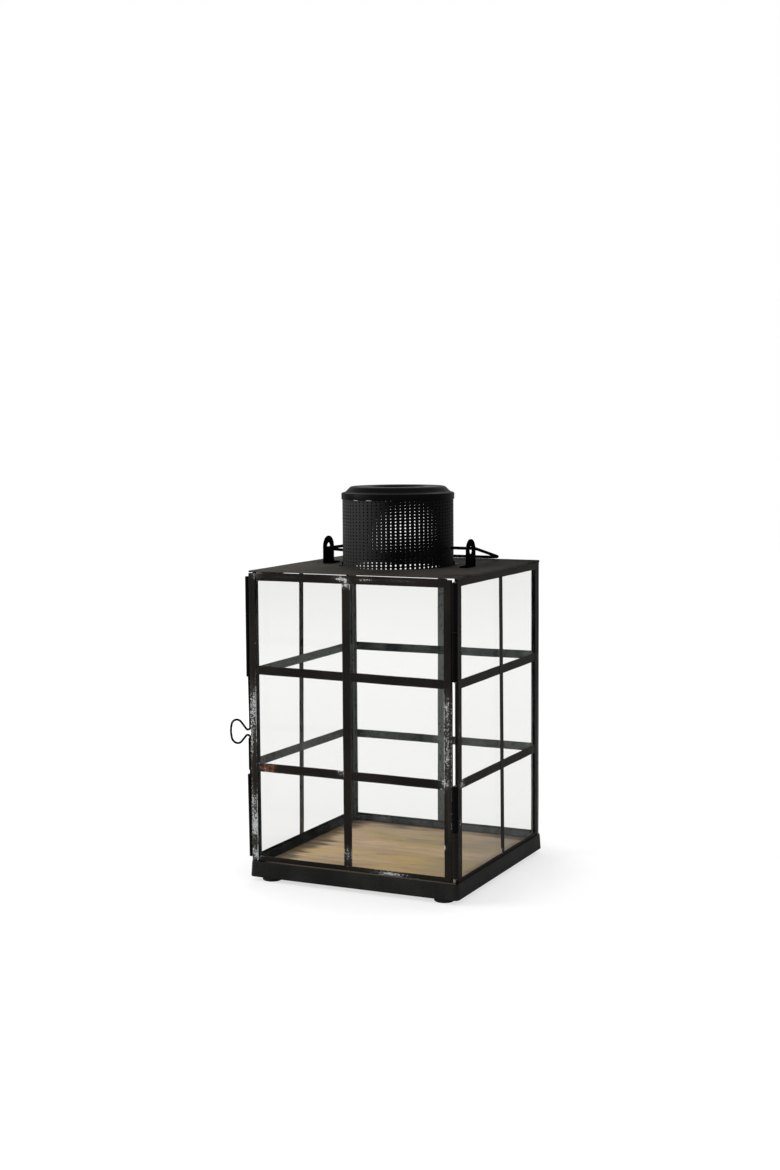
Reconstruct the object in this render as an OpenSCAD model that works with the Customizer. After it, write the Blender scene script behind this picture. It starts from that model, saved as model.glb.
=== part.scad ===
// Candle lantern: a square glazed case on a shallow tray, with a hinged front door, a wire
// drop latch, a round perforated chimney and a folding wire handle.
// Origin: centre of the case on the ground. +X to the right, +Y to the back, +Z up.

/* [Case] */
// Width over the outer faces of the side panels
case_w = 200; // [170:1:260]
// Depth from the face of the door to the outer face of the back panel
case_d = 200; // [170:1:260]
// Height from the underside of the tray to the underside of the roof
case_h = 276.6; // [220:0.1:340]

/* [Glazed frames] */
// Thickness of the door and of the fixed panels
frame_t = 3.4; // [3:0.1:3.8]
// Thickness of the folded strip on each face of the glass
strip_t = 0.6; // [0.4:0.1:0.6]
// Thickness of the web that joins the two faces of a strip
web_t = 1.2; // [0.8:0.1:1.6]
// Width of the upright strips of the door
door_stile_w = 7; // [6:0.5:10]
// Width of the top strip of the door
door_head_w = 5.7; // [5:0.1:8]
// Width of the bottom strip of the door
door_sill_w = 4.4; // [4.2:0.1:8]
// Width of the upright strips of the fixed panels
panel_stile_w = 6.5; // [5.5:0.5:9]
// Width of the top strip of the fixed panels
panel_head_w = 6.5; // [5:0.1:9]
// Width of the bottom strip of the fixed panels
panel_sill_w = 7.2; // [5:0.1:9]
// How much narrower the inner face of an edge strip is than its outer face
lip_cut = 1.8; // [0:0.1:2]
// Width of the mullions and crossbars, flat strips on the face of the glass
bar_w = 8; // [5:0.1:10]
// Thickness of the glass
glass_t = 2; // [1.4:0.1:2]
// How far the edge of the glass reaches into the strips that hold it
glass_bite = 2.6; // [2.4:0.1:2.8]
// Rounding of the upright back corners of the case
corner_r = 1.5; // [0.5:0.1:1.8]

/* [Handmade offsets] */
// Door mullion from the middle of its frame, to the right
door_mullion_shift = -1.5; // [-10:0.5:10]
// Left mullion from the middle of its frame, to the back
left_mullion_shift = -6; // [-12:0.5:12]
// Right mullion from the middle of its frame, to the back
right_mullion_shift = 4; // [-10:0.5:10]
// Back mullion from the middle of its frame, to the right
back_mullion_shift = -0.8; // [-10:0.1:10]

/* [Base] */
// Height of the feet
foot_h = 4; // [2:0.5:10]
// Diameter of the feet
foot_d = 18; // [12:1:26]
// Rounding of the feet's lower edge
foot_round = 1.4; // [0.5:0.1:1.8]
// Distance of the feet's centres from the case's left and right sides
foot_inset_x = 15; // [10:1:40]
// Distance of the feet's centres from the case's front and back
foot_inset_y = 9; // [9:1:40]
// Height of the tray's rim over its underside
tray_h = 14.2; // [10:0.1:14.6]
// Thickness of the tray's sheet
tray_wall = 1; // [0.8:0.1:1.6]
// How far the rim leans outwards from its top to its bottom
tray_flare = 1; // [0:0.1:3]
// Inner radius of the tray's corners
tray_corner_r = 3; // [3:0.5:5]
// Thickness of the candle board
board_t = 9.5; // [6:0.5:10]

/* [Roof] */
// Thickness of the roof plate
roof_t = 0.9; // [0.8:0.1:1.6]
// Height of the folded edge that hangs from the roof's sides and back
hem_h = 1.2; // [0.6:0.1:1.4]
// Thickness of the folded edge
hem_t = 0.8; // [0.6:0.1:1.2]
// Overhang of the roof past the face of the door
roof_nose = 0.4; // [0:0.1:3]
// Radius of the roof's outer corners
roof_corner_r = 2.8; // [2.8:0.1:5]

/* [Chimney] */
// Outer diameter of the chimney's tube
chimney_d = 101.6; // [80:0.2:110]
// Height of the chimney's tube
chimney_h = 66; // [40:1:90]
// Thickness of the chimney's sheet
sheet_t = 0.8; // [0.6:0.1:1.2]
// Width of the ledge that the roof leaves inside the tube
vent_ledge = 0.7; // [0.2:0.1:4]
// Height of the cap's skirt around the tube
cap_skirt_h = 5.1; // [4:0.1:12]
// Rise of the cap's flat top over the tube
cap_rise = 6.5; // [4:0.1:15]
// Rise of the cap's shoulder line over the tube
cap_shoulder_h = 1.9; // [1.4:0.1:3]
// Run of the cap's shoulder, from its outer edge inwards
cap_shoulder_w = 4; // [2:0.1:6]
// Run of the cap's slope, from its shoulder to its flat top
cap_slope_w = 4.8; // [3:0.1:8]
// Diameter of the opening in the cap
flue_d = 50; // [30:1:64]
// Depth of the turned-down edge around that opening
flue_lip_h = 2; // [1.6:0.1:3.5]
// Width of the two clip tabs at the chimney's foot
tab_w = 8; // [4:0.5:12]
// Length of the clip tabs on the roof
tab_len = 4; // [3:0.5:8]
// Direction of the clip tabs, from the right towards the back
tab_angle = 25; // [0:1:60]

/* [Handle] */
// Diameter of the handle's wire
bail_wire_d = 2.8; // [2:0.1:4]
// Distance from the chimney's wall to the middle of each ear
ear_gap = 21.2; // [14:0.1:24]
// Width of the ears
ear_w = 20; // [14:0.5:24]
// Thickness of the ears' sheet
ear_t = 1.5; // [1:0.1:2]
// Height of the handle's pivot over the roof
pivot_h = 15.5; // [12:0.1:24]
// Diameter of the holes in the ears
ear_hole_d = 7.5; // [5:0.1:9]
// Length of the ears' feet towards the chimney
ear_foot = 7.5; // [7:0.5:11]
// Diameter of the rivets' shanks
rivet_d = 2; // [1.6:0.1:2.4]
// Diameter of the rivets' heads
rivet_head_d = 4; // [3.4:0.1:4.6]
// Gap between the handle's inner ends and the chimney
journal_gap = 1.6; // [0.5:0.1:6]
// Distance from an ear to the middle of the handle's arm at the pivot
arm_offset = 4.5; // [4:0.1:8]
// How much closer each arm stands to the middle at the crossbar
arm_taper = 15; // [0:0.5:30]
// Distance of the crossbar from the roof's back edge
bail_inset = 3.6; // [2:0.1:10]
// Bend radius at the handle's far corners
bail_corner_r = 14; // [6:0.5:25]
// Bend radius at the handle's pivots
bail_pivot_r = 3; // [2.2:0.1:4]

/* [Hinge] */
// Outer diameter of the hinge tubes
hinge_d = 5.6; // [4.6:0.1:6]
// Diameter of the hinge pins
pin_d = 2.4; // [1.6:0.1:3]
// Distance of the hinge's axis from the case's right side
hinge_inset = 0.8; // [0:0.1:2]
// Distance of the hinge's axis behind the face of the door
hinge_depth = 1; // [0.5:0.1:1.6]
// Thickness of the hinge tubes' leaves
leaf_t = 1.6; // [1:0.1:2]
// Length of each upper hinge tube
upper_tube_len = 42; // [20:0.5:60]
// Length of each lower hinge tube
lower_tube_len = 40; // [20:0.5:60]
// Distance from the door's top to the upper hinge tubes
upper_tube_drop = 2; // [1:0.5:20]
// Distance from the door's bottom to the lower hinge tubes
lower_tube_rise = 4; // [1:0.5:20]
// How far a pin stands out of its tubes
pin_proud = 0.8; // [0.2:0.1:2]

/* [Latch] */
// Diameter of the latch wire
latch_wire_d = 1.7; // [1.4:0.1:2.2]
// Outer diameter of the latch tubes
latch_tube_d = 4; // [3.4:0.1:5]
// Outer diameter of the open clip on the case
clip_d = 3.4; // [3:0.1:4]
// Height of the middle of the finger loop over the tray's underside
loop_z = 131; // [115:0.1:150]
// Reach of the finger loop from the wire's axis
loop_reach = 20.2; // [16:0.1:26]
// Half the height of the finger loop
loop_half_h = 10.7; // [9:0.1:13]
// Gap between the wires at the loop's neck
neck_gap = 2.9; // [1.5:0.1:4]
// Bend radius at the loop's neck
neck_r = 2.4; // [2:0.1:3]
// Bend radius at the loop's upper and lower ends
loop_end_r = 6; // [5:0.1:6.6]
// Bend radius of the loop's outer side
loop_side_r = 23; // [12:0.5:30]
// Travel of the latch
latch_lift = 38; // [30:1:40]
// Height of the upper tube's lower end over the tray's underside
upper_guide_z = 181.8; // [172:0.1:200]
// Length of the latch wire inside the upper tube
wire_in_guide = 33; // [10:1:45]
// Distance from the door's top to the upper tube
upper_guide_drop = 3.1; // [1:0.1:20]
// Height of the clip
clip_h = 29; // [15:0.5:32]
// Gap between the clip and the lower tube
clip_drop = 4; // [2:0.5:8]
// Length of the latch wire inside the lower tube
wire_in_tube = 3; // [1:0.5:4]
// Distance from the door's bottom to the lower tube
lower_guide_rise = 3; // [1:0.1:20]
// Length of the clip's leaf along the side panel
clip_leaf = 6; // [3:0.5:9]
// Thickness of the clip's leaf
clip_leaf_t = 1; // [0.8:0.1:1.4]

/* [Fits] */
// Gap over the door
door_top_gap = 1.5; // [0.5:0.1:3]
// Gap under the door, over the tray's rim
door_bottom_gap = 0.6; // [0.4:0.1:2]
// Gap between the door and the fixed panels
door_back_gap = 2.4; // [1:0.1:4]
// Clearance between the panels and the tray's rim
tray_clear = 0.6; // [0.6:0.1:1.5]
// Clearance between the panels and the roof's folded edge
hem_clear = 0.2; // [0.2:0.05:0.4]
// Clearance around the candle board
board_clear = 0.5; // [0.2:0.1:2]
// Radial clearance of a pin in a tube
pin_clear = 0.05; // [0.02:0.01:0.1]
// Radial clearance of a rivet in its hole
rivet_clear = 0.03; // [0.02:0.01:0.1]
// Radial clearance of the latch wire
latch_clear = 0.1; // [0.05:0.01:0.15]
// Clearance between moving parts
move_gap = 0.3; // [0.3:0.05:0.6]
// Clearance between the chimney and what sits on it
chimney_clear = 0.05; // [0.02:0.01:0.1]

/* [Hidden] */
$fn = 96;

// A cut runs this far past the solid that it cuts
past = 1;

// Heights over the ground
tray_z = foot_h;
floor_z = tray_z + tray_wall;
board_top = floor_z + board_t;
rim_z = tray_z + tray_h;
roof_z = tray_z + case_h;
roof_top = roof_z + roof_t;
panel_sill_z = board_top - board_clear;
door_z = rim_z + door_bottom_gap;
door_top = roof_z - door_top_gap;
chimney_top = roof_top + chimney_h;
pivot_z = roof_top + pivot_h;

// Positions in plan
front_y = -case_d / 2;
back_y = case_d / 2;
left_x = -case_w / 2;
right_x = case_w / 2;
panel_front_y = front_y + frame_t + door_back_gap;
panel_len = back_y - frame_t - panel_front_y;
hinge_x = right_x - hinge_inset;
hinge_y = front_y + hinge_depth;
door_w = hinge_x - hinge_d / 2 - move_gap - left_x;
latch_x = left_x - latch_tube_d / 2;
latch_y = front_y + frame_t / 2;

// Rivets and the handle
chimney_r = chimney_d / 2;
ear_x = chimney_r + ear_gap;
rivet_x = ear_x - ear_foot / 2;
bar_y = back_y - bail_inset;
bail_drop = pivot_h - bail_wire_d / 2 - move_gap;
bail_reach = norm([bar_y, bail_drop]);
bail_angle = atan2(bail_drop, bar_y);

// Hinge tubes, from the top of the door down and from its bottom up
door_upper_z = door_top - upper_tube_drop - upper_tube_len;
case_upper_z = door_upper_z - move_gap - upper_tube_len;
door_lower_z = door_z + lower_tube_rise;
case_lower_z = door_lower_z + lower_tube_len + move_gap;

// Latch heights
neck_z = neck_r + neck_gap / 2 + latch_wire_d / 2;
loop_mid = tray_z + loop_z;
clip_top = loop_mid - neck_z - move_gap;
clip_z = clip_top - clip_h;
lower_guide_top = clip_z - clip_drop;
loop_side_a = asin((loop_half_h - loop_end_r) / (loop_side_r - loop_end_r));
loop_side_c = [-loop_reach + loop_side_r, 0];
loop_end_c = loop_side_c + (loop_side_r - loop_end_r) * [-cos(loop_side_a), sin(loop_side_a)];
lower_guide_z = door_z + lower_guide_rise;
upper_guide_bottom = tray_z + upper_guide_z;
upper_guide_top = door_top - upper_guide_drop;

// ---- Folded strips, in the frame of a panel ----
// Along x from one stile to the other, y from the outer face inwards, z up.

// Groove that takes the edge of the glass, open at z = 0 and as deep as given,
// with the inner face of the strip cut back by its lip
module groove(len, deep) {
    translate([-past, strip_t, -past])
        cube([len + 2 * past, frame_t - 2 * strip_t, deep + past]);
    translate([-past, frame_t / 2, -past])
        cube([len + 2 * past, frame_t / 2 + past, lip_cut + past]);
}

// Edge strip along x, grooved on its lower side
module edge_strip(len, w) {
    difference() {
        cube([len, frame_t, w]);
        groove(len, w - web_t);
    }
}

// Upright strip with its web at x = 0 and its groove to the right
module stile_right(w, len) {
    translate([w, 0, 0]) mirror([1, 0, 0]) stile_left(w, len);
}

// Upright strip with its groove at x = 0 and its web at x = w
module stile_left(w, len) {
    difference() {
        cube([w, frame_t, len]);
        translate([0, 0, len]) rotate([0, 90, 0]) groove(len, w - web_t);
    }
}

// ---- A glazed frame's pieces from its sizes ----
// A frame is [length, foot, bottom, top, first stile, last stile, sill, head, mullion centre]
function frame_len(f) = f[0];
function frame_foot(f) = f[1];
function frame_bottom(f) = f[2];
function frame_top(f) = f[3];
function first_w(f) = f[4];
function last_w(f) = f[5];
function sill_w(f) = f[6];
function head_w(f) = f[7];
function mullion_x(f) = f[8];
function glass_z0(f) = frame_bottom(f) + sill_w(f);
function glass_z1(f) = frame_top(f) - head_w(f);
// Height of one row of lights: three rows stand between the sill, two crossbars and the head
function row_h(f) = (glass_z1(f) - glass_z0(f) - 2 * bar_w) / 3;
function bar_z(f, row) = glass_z0(f) + row * row_h(f) + (row - 1) * bar_w;

module first_stile(f) {
    translate([0, 0, frame_foot(f)]) stile_right(first_w(f), frame_top(f) - frame_foot(f));
}

module last_stile(f) {
    translate([frame_len(f) - last_w(f), 0, frame_foot(f)])
        stile_left(last_w(f), frame_top(f) - frame_foot(f));
}

module head(f) {
    translate([first_w(f), 0, glass_z1(f)])
        edge_strip(frame_len(f) - first_w(f) - last_w(f), head_w(f));
}

module sill(f) {
    translate([first_w(f), 0, glass_z0(f)]) mirror([0, 0, 1])
        edge_strip(frame_len(f) - first_w(f) - last_w(f), sill_w(f));
}

module centre_bar(f) {
    translate([mullion_x(f) - bar_w / 2, 0, glass_z0(f)])
        cube([bar_w, strip_t, glass_z1(f) - glass_z0(f)]);
}

// Two crossbars in one row, one on each side of the mullion
module crossbars(f, row) {
    starts = [first_w(f), mullion_x(f) + bar_w / 2];
    ends = [mullion_x(f) - bar_w / 2, frame_len(f) - last_w(f)];
    for (half = [0, 1]) translate([starts[half], 0, bar_z(f, row)])
        cube([ends[half] - starts[half], strip_t, bar_w]);
}

// One pane behind the bars, with its edges inside the strips around it
module pane(f) {
    translate([first_w(f) - glass_bite, (frame_t - glass_t) / 2, glass_z0(f) - glass_bite])
        cube([frame_len(f) - first_w(f) - last_w(f) + 2 * glass_bite, glass_t,
              glass_z1(f) - glass_z0(f) + 2 * glass_bite]);
}

// ---- The four frames and where they stand ----
door_frame = [door_w, door_z, door_z, door_top, door_stile_w, door_stile_w,
              door_sill_w, door_head_w, door_w / 2 + door_mullion_shift];
left_frame = [panel_len, floor_z, panel_sill_z, roof_z, panel_stile_w, panel_stile_w,
              panel_sill_w, panel_head_w, panel_len / 2 - left_mullion_shift];
right_frame = [panel_len, floor_z, panel_sill_z, roof_z, panel_stile_w, panel_stile_w,
               panel_sill_w, panel_head_w, panel_len / 2 + right_mullion_shift];
back_frame = [case_w, floor_z, panel_sill_z, roof_z, panel_stile_w, panel_stile_w,
              panel_sill_w, panel_head_w, case_w / 2 - back_mullion_shift];

module at_door() { translate([left_x, front_y, 0]) children(); }
module at_left() { translate([left_x, back_y - frame_t, 0]) rotate([0, 0, -90]) children(); }
module at_right() { translate([right_x, panel_front_y, 0]) rotate([0, 0, 90]) children(); }
module at_back() { translate([right_x, back_y, 0]) rotate([0, 0, 180]) children(); }

// Upright edge at the origin that is rounded towards +x and +y
module round_edge(len) {
    difference() {
        translate([-past, -past, -past]) cube([corner_r + past, corner_r + past, len + 2 * past]);
        translate([corner_r, corner_r, -2 * past]) cylinder(r = corner_r, h = len + 4 * past);
    }
}

// ---- Wire bent in the XY plane ----

// Short cut-back at each end of a bend, which a collar closes again
seam = 0.05;

function heading(a, b) = atan2(b.y - a.y, b.x - a.x);
function wrap(angle) = angle > 180 ? angle - 360 : angle < -180 ? angle + 360 : angle;
function turn(a, b, c) = wrap(heading(b, c) - heading(a, b));
function trim(a, b, c, r) = r * tan(abs(turn(a, b, c)) / 2);
function along(a, b, dist) = a + dist * (b - a) / norm(b - a);

module straight(a, b, d) {
    translate([a.x, a.y, 0]) rotate([0, 0, heading(a, b)]) rotate([0, 90, 0])
        cylinder(d = d, h = norm(b - a), $fn = 32);
}

// Collar over the seam between two stretches of wire, a hair wider than the wire
module collar(at, angle, d) {
    translate([at.x, at.y, 0]) rotate([0, 0, angle]) rotate([0, 90, 0])
        cylinder(d = d + seam, h = 8 * seam, center = true, $fn = 32);
}

// Arc around a centre, from one direction to another
module arc(centre, r, from, to, d) {
    cut = seam / r * 180 / PI;
    translate([centre.x, centre.y, 0]) rotate([0, 0, min(from, to) + cut])
        rotate_extrude(angle = abs(to - from) - 2 * cut) translate([r, 0]) circle(d = d, $fn = 32);
}

// Wire through the given corners, each bent to its own radius
module bent_wire(corners, radii, d) {
    last = len(corners) - 1;
    trims = [for (i = [0:last]) i == 0 || i == last ? 0
             : trim(corners[i - 1], corners[i], corners[i + 1], radii[i])];
    for (i = [0:last - 1])
        straight(along(corners[i], corners[i + 1], trims[i]),
                 along(corners[i + 1], corners[i], trims[i + 1]), d);
    for (i = [1:last - 1]) {
        bend = turn(corners[i - 1], corners[i], corners[i + 1]);
        start = heading(corners[i - 1], corners[i]);
        side = sign(bend) * 90;
        entry = along(corners[i], corners[i - 1], trims[i]);
        centre = entry + radii[i] * [cos(start + side), sin(start + side)];
        arc(centre, radii[i], start - side, start - side + bend, d);
        collar(entry, start, d);
        collar(along(corners[i], corners[i + 1], trims[i]), start + bend, d);
    }
}

// ---- Base ----

// Plan of the tray at a distance outside the case
module tray_plan(grow) {
    r = tray_corner_r + grow;
    w = case_w / 2 + tray_clear + grow - r;
    d = case_d / 2 + tray_clear + grow - r;
    for (x = [-w, w], y = [-d, d]) translate([x, y]) circle(r = r);
    square([2 * (w + r), 2 * d], center = true);
    square([2 * w, 2 * (d + r)], center = true);
}

// Section of the tray's rim, outwards from its top inner edge
module rim_section() {
    polygon([[0, tray_h], [tray_wall, tray_h], [tray_wall + tray_flare, 0], [tray_flare, 0]]);
}

// Straight stretch of the rim, centred at a distance from the origin along x
module rim_side(len, inner) {
    translate([inner, len / 2, 0]) rotate([90, 0, 0]) linear_extrude(len) rim_section();
}

module base_tray() {
    w = case_w / 2 + tray_clear;
    d = case_d / 2 + tray_clear;
    r = tray_corner_r;
    color([0.09, 0.09, 0.09]) translate([0, 0, tray_z]) {
        linear_extrude(tray_wall) tray_plan(tray_flare);
        for (turn = [0, 180]) {
            rotate([0, 0, turn]) rim_side(2 * (d - r), w);
            rotate([0, 0, turn + 90]) rim_side(2 * (w - r), d);
        }
        for (x = [-1, 1], y = [-1, 1])
            translate([x * (w - r), y * (d - r), 0])
                rotate([0, 0, x > 0 ? (y > 0 ? 0 : 270) : (y > 0 ? 90 : 180)])
                rotate_extrude(angle = 90) translate([r, 0]) rim_section();
    }
}

module feet() {
    r = foot_d / 2;
    color([0.05, 0.05, 0.05])
        for (x = [-1, 1], y = [-1, 1])
            translate([x * (case_w / 2 - foot_inset_x), y * (case_d / 2 - foot_inset_y), 0])
                rotate_extrude() {
                    square([r - foot_round, foot_h]);
                    translate([0, foot_round]) square([r, foot_h - foot_round]);
                    translate([r - foot_round, foot_round]) intersection() {
                        circle(r = foot_round, $fn = 32);
                        translate([0, -foot_round]) square(foot_round);
                    }
                }
}

module candle_board() {
    board_front = front_y + board_clear;
    board_back = back_y - frame_t - board_clear;
    w = case_w - 2 * frame_t - 2 * board_clear;
    color([0.66, 0.55, 0.42]) translate([-w / 2, board_front, floor_z])
        cube([w, board_back - board_front, board_t]);
}

// ---- Left panel ----
strip_colour = [0.13, 0.12, 0.11];
glass_colour = [0.93, 0.95, 0.94, 0.35];
module left_front_stile() { color(strip_colour) at_left() last_stile(left_frame); }
module left_back_stile() { color(strip_colour) at_left() first_stile(left_frame); }
module left_head() { color(strip_colour) at_left() head(left_frame); }
module left_sill() { color(strip_colour) at_left() sill(left_frame); }
module left_mullion() { color(strip_colour) at_left() centre_bar(left_frame); }
module left_upper_bars() { color(strip_colour) at_left() crossbars(left_frame, 2); }
module left_lower_bars() { color(strip_colour) at_left() crossbars(left_frame, 1); }
module left_glass() { color(glass_colour) at_left() pane(left_frame); }

// ---- Right panel ----
module right_front_stile() { color(strip_colour) at_right() first_stile(right_frame); }
module right_back_stile() { color(strip_colour) at_right() last_stile(right_frame); }
module right_head() { color(strip_colour) at_right() head(right_frame); }
module right_sill() { color(strip_colour) at_right() sill(right_frame); }
module right_mullion() { color(strip_colour) at_right() centre_bar(right_frame); }
module right_upper_bars() { color(strip_colour) at_right() crossbars(right_frame, 2); }
module right_lower_bars() { color(strip_colour) at_right() crossbars(right_frame, 1); }
module right_glass() { color(glass_colour) at_right() pane(right_frame); }

// ---- Back panel ----
module back_left_stile() {
    color(strip_colour) difference() {
        at_back() last_stile(back_frame);
        translate([left_x, back_y, 0]) rotate([0, 0, -90]) round_edge(roof_z);
    }
}
module back_right_stile() {
    color(strip_colour) difference() {
        at_back() first_stile(back_frame);
        translate([right_x, back_y, 0]) rotate([0, 0, 180]) round_edge(roof_z);
    }
}
module back_head() { color(strip_colour) at_back() head(back_frame); }
module back_sill() { color(strip_colour) at_back() sill(back_frame); }
module back_mullion() { color(strip_colour) at_back() centre_bar(back_frame); }
module back_upper_bars() { color(strip_colour) at_back() crossbars(back_frame, 2); }
module back_lower_bars() { color(strip_colour) at_back() crossbars(back_frame, 1); }
module back_glass() { color(glass_colour) at_back() pane(back_frame); }

// ---- Roof ----

// Outline of the roof, or of the hollow under its folded edges
module roof_plan(grow) {
    r = roof_corner_r - hem_t + grow;
    w = case_w / 2 + hem_clear + grow;
    y_back = case_d / 2 + hem_clear + grow;
    y_front = front_y - roof_nose;
    for (x = [-1, 1]) translate([x * (w - r), y_back - r]) circle(r = r);
    translate([-w, y_front]) square([2 * w, y_back - r - y_front]);
    translate([-w + r, y_front]) square([2 * (w - r), y_back - y_front]);
}

module roof_plate() {
    vent_r = chimney_r - sheet_t - vent_ledge;
    color([0.17, 0.16, 0.15]) difference() {
        translate([0, 0, roof_z - hem_h]) linear_extrude(hem_h + roof_t) roof_plan(hem_t);
        translate([0, 0, roof_z - hem_h - past]) linear_extrude(hem_h + past) roof_plan(0);
        translate([0, -past, roof_z - hem_h - past])
            linear_extrude(hem_h + past) roof_plan(0);
        translate([0, 0, roof_z - past]) cylinder(r = vent_r, h = roof_t + 2 * past);
        for (side = [-1, 1])
            translate([side * rivet_x, 0, roof_z - past])
                cylinder(d = rivet_d + 2 * rivet_clear, h = roof_t + 2 * past, $fn = 32);
    }
}

// ---- Chimney ----
module chimney_tube() {
    color([0.12, 0.12, 0.12]) translate([0, 0, roof_top]) difference() {
        cylinder(r = chimney_r, h = chimney_h);
        translate([0, 0, -past]) cylinder(r = chimney_r - sheet_t, h = chimney_h + 2 * past);
    }
}

// Pressed cap: skirt, narrow shoulder, slope, flat ring and turned-down flue edge
module chimney_cap() {
    rim_r = chimney_r + chimney_clear + sheet_t;
    shoulder_r = rim_r - cap_shoulder_w;
    flat_r = shoulder_r - cap_slope_w;
    edge_round = 0.7 * sheet_t;
    shoulder_under = cap_shoulder_h - sheet_t;
    slope_shift = sheet_t * sin(atan2(cap_rise - cap_shoulder_h, cap_slope_w));
    flue_r = flue_d / 2;
    color([0.11, 0.11, 0.11]) translate([0, 0, chimney_top]) rotate_extrude() polygon([
        [rim_r, -cap_skirt_h],
        [rim_r, sheet_t - edge_round],
        [rim_r - edge_round, sheet_t],
        [shoulder_r, cap_shoulder_h],
        [flat_r, cap_rise],
        [flue_r, cap_rise],
        [flue_r, cap_rise - flue_lip_h],
        [flue_r + sheet_t, cap_rise - flue_lip_h],
        [flue_r + sheet_t, cap_rise - sheet_t],
        [flat_r - slope_shift / 2, cap_rise - sheet_t],
        [shoulder_r - slope_shift / 2, shoulder_under],
        [rim_r - 2 * sheet_t - shoulder_under, 0],
        [rim_r - sheet_t, 0],
        [rim_r - sheet_t, -cap_skirt_h],
    ]);
}

// Two clip tabs that lie on the roof against the foot of the tube
module chimney_tabs() {
    reach = chimney_r + chimney_clear + tab_len;
    color([0.1, 0.1, 0.1]) for (angle = [tab_angle, tab_angle + 180])
        rotate([0, 0, angle]) translate([0, 0, roof_top]) difference() {
            union() {
                translate([0, -tab_w / 2, 0]) cube([reach, tab_w, sheet_t]);
                translate([0, -tab_w / 2, 0]) cube([reach - tab_len + sheet_t, tab_w, tab_len]);
            }
            translate([0, 0, -past])
                cylinder(r = chimney_r + chimney_clear, h = tab_len + 2 * past, $fn = 360);
        }
}

// ---- Handle ----

// Upright ear with a foot that is bent towards the chimney; side is 1 for the right ear
module ear(side) {
    inner_x = ear_x - ear_t / 2;
    mirror([side < 0 ? 1 : 0, 0, 0]) translate([0, 0, roof_top]) difference() {
        union() {
            translate([inner_x, 0, pivot_h]) rotate([0, 90, 0]) cylinder(d = ear_w, h = ear_t);
            translate([inner_x, -ear_w / 2, 0]) cube([ear_t, ear_w, pivot_h]);
            translate([inner_x + ear_t - ear_foot, -ear_w / 2, 0]) cube([ear_foot, ear_w, ear_t]);
        }
        translate([inner_x - past, 0, pivot_h]) rotate([0, 90, 0])
            cylinder(d = ear_hole_d, h = ear_t + 2 * past);
        translate([rivet_x, 0, -past])
            cylinder(d = rivet_d + 2 * rivet_clear, h = ear_t + 2 * past, $fn = 32);
    }
}
module ear_left() { color([0.08, 0.08, 0.08]) ear(-1); }
module ear_right() { color([0.08, 0.08, 0.08]) ear(1); }

// One rivet through each ear's foot and the roof, closed on both sides
module ear_rivets() {
    head_h = rivet_head_d / 5;
    stack = roof_t + ear_t;
    color([0.1, 0.1, 0.1]) for (side = [-1, 1])
        translate([side * rivet_x, 0, roof_z]) rotate_extrude($fn = 48) polygon([
            [0, -head_h], [rivet_head_d / 3, -head_h], [rivet_head_d / 2, -head_h / 3],
            [rivet_head_d / 2, 0], [rivet_d / 2, 0], [rivet_d / 2, stack],
            [rivet_head_d / 2, stack], [rivet_head_d / 2, stack + head_h / 3],
            [rivet_head_d / 3, stack + head_h], [0, stack + head_h],
        ]);
}

// Wire handle, folded to the back with its crossbar over the roof's edge
module bail_handle() {
    inner = chimney_r + journal_gap;
    arm = ear_x + arm_offset;
    far = arm - arm_taper;
    corners = [[-inner, 0], [-arm, 0], [-far, bail_reach],
               [far, bail_reach], [arm, 0], [inner, 0]];
    radii = [0, bail_pivot_r, bail_corner_r, bail_corner_r, bail_pivot_r, 0];
    color([0.06, 0.06, 0.06]) translate([0, 0, pivot_z]) rotate([-bail_angle, 0, 0])
        bent_wire(corners, radii, bail_wire_d);
}

// ---- Door ----
module door_latch_stile() { color(strip_colour) at_door() first_stile(door_frame); }
module door_hinge_stile() { color(strip_colour) at_door() last_stile(door_frame); }
module door_head() { color(strip_colour) at_door() head(door_frame); }
module door_sill() { color(strip_colour) at_door() sill(door_frame); }
module door_mullion() { color(strip_colour) at_door() centre_bar(door_frame); }
module door_upper_bars() { color(strip_colour) at_door() crossbars(door_frame, 2); }
module door_lower_bars() { color(strip_colour) at_door() crossbars(door_frame, 1); }
module door_glass() { color(glass_colour) at_door() pane(door_frame); }

// ---- Hinge ----

// Upright tube with a leaf that reaches from its axis to a seat on one side
module leafed_tube(len, seat_x, seat_y, leaf_w) {
    difference() {
        union() {
            cylinder(d = hinge_d, h = len);
            if (seat_x < 0)
                translate([seat_x, -leaf_w / 2, 0]) cube([-seat_x, leaf_w, len]);
            if (seat_y > 0)
                translate([-leaf_w / 2, 0, 0]) cube([leaf_w, seat_y, len]);
        }
        translate([0, 0, -past]) cylinder(r = pin_d / 2 + pin_clear, h = len + 2 * past);
    }
}

// Tube on the door: its leaf meets the edge of the hinge stile
module door_tube(z, len) {
    color([0.1, 0.1, 0.1]) translate([hinge_x, hinge_y, z])
        leafed_tube(len, -hinge_d / 2 - move_gap, 0, leaf_t);
}

// Tube on the case: its leaf meets the front edge of the right panel's stile
module case_tube(z, len) {
    color([0.1, 0.1, 0.1]) translate([hinge_x, hinge_y, z])
        leafed_tube(len, 0, panel_front_y - hinge_y, leaf_t);
}

module hinge_pin(z, len) {
    color([0.2, 0.2, 0.2]) translate([hinge_x, hinge_y, z - pin_proud])
        cylinder(d = pin_d, h = 2 * len + move_gap + 2 * pin_proud, $fn = 48);
}

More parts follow.
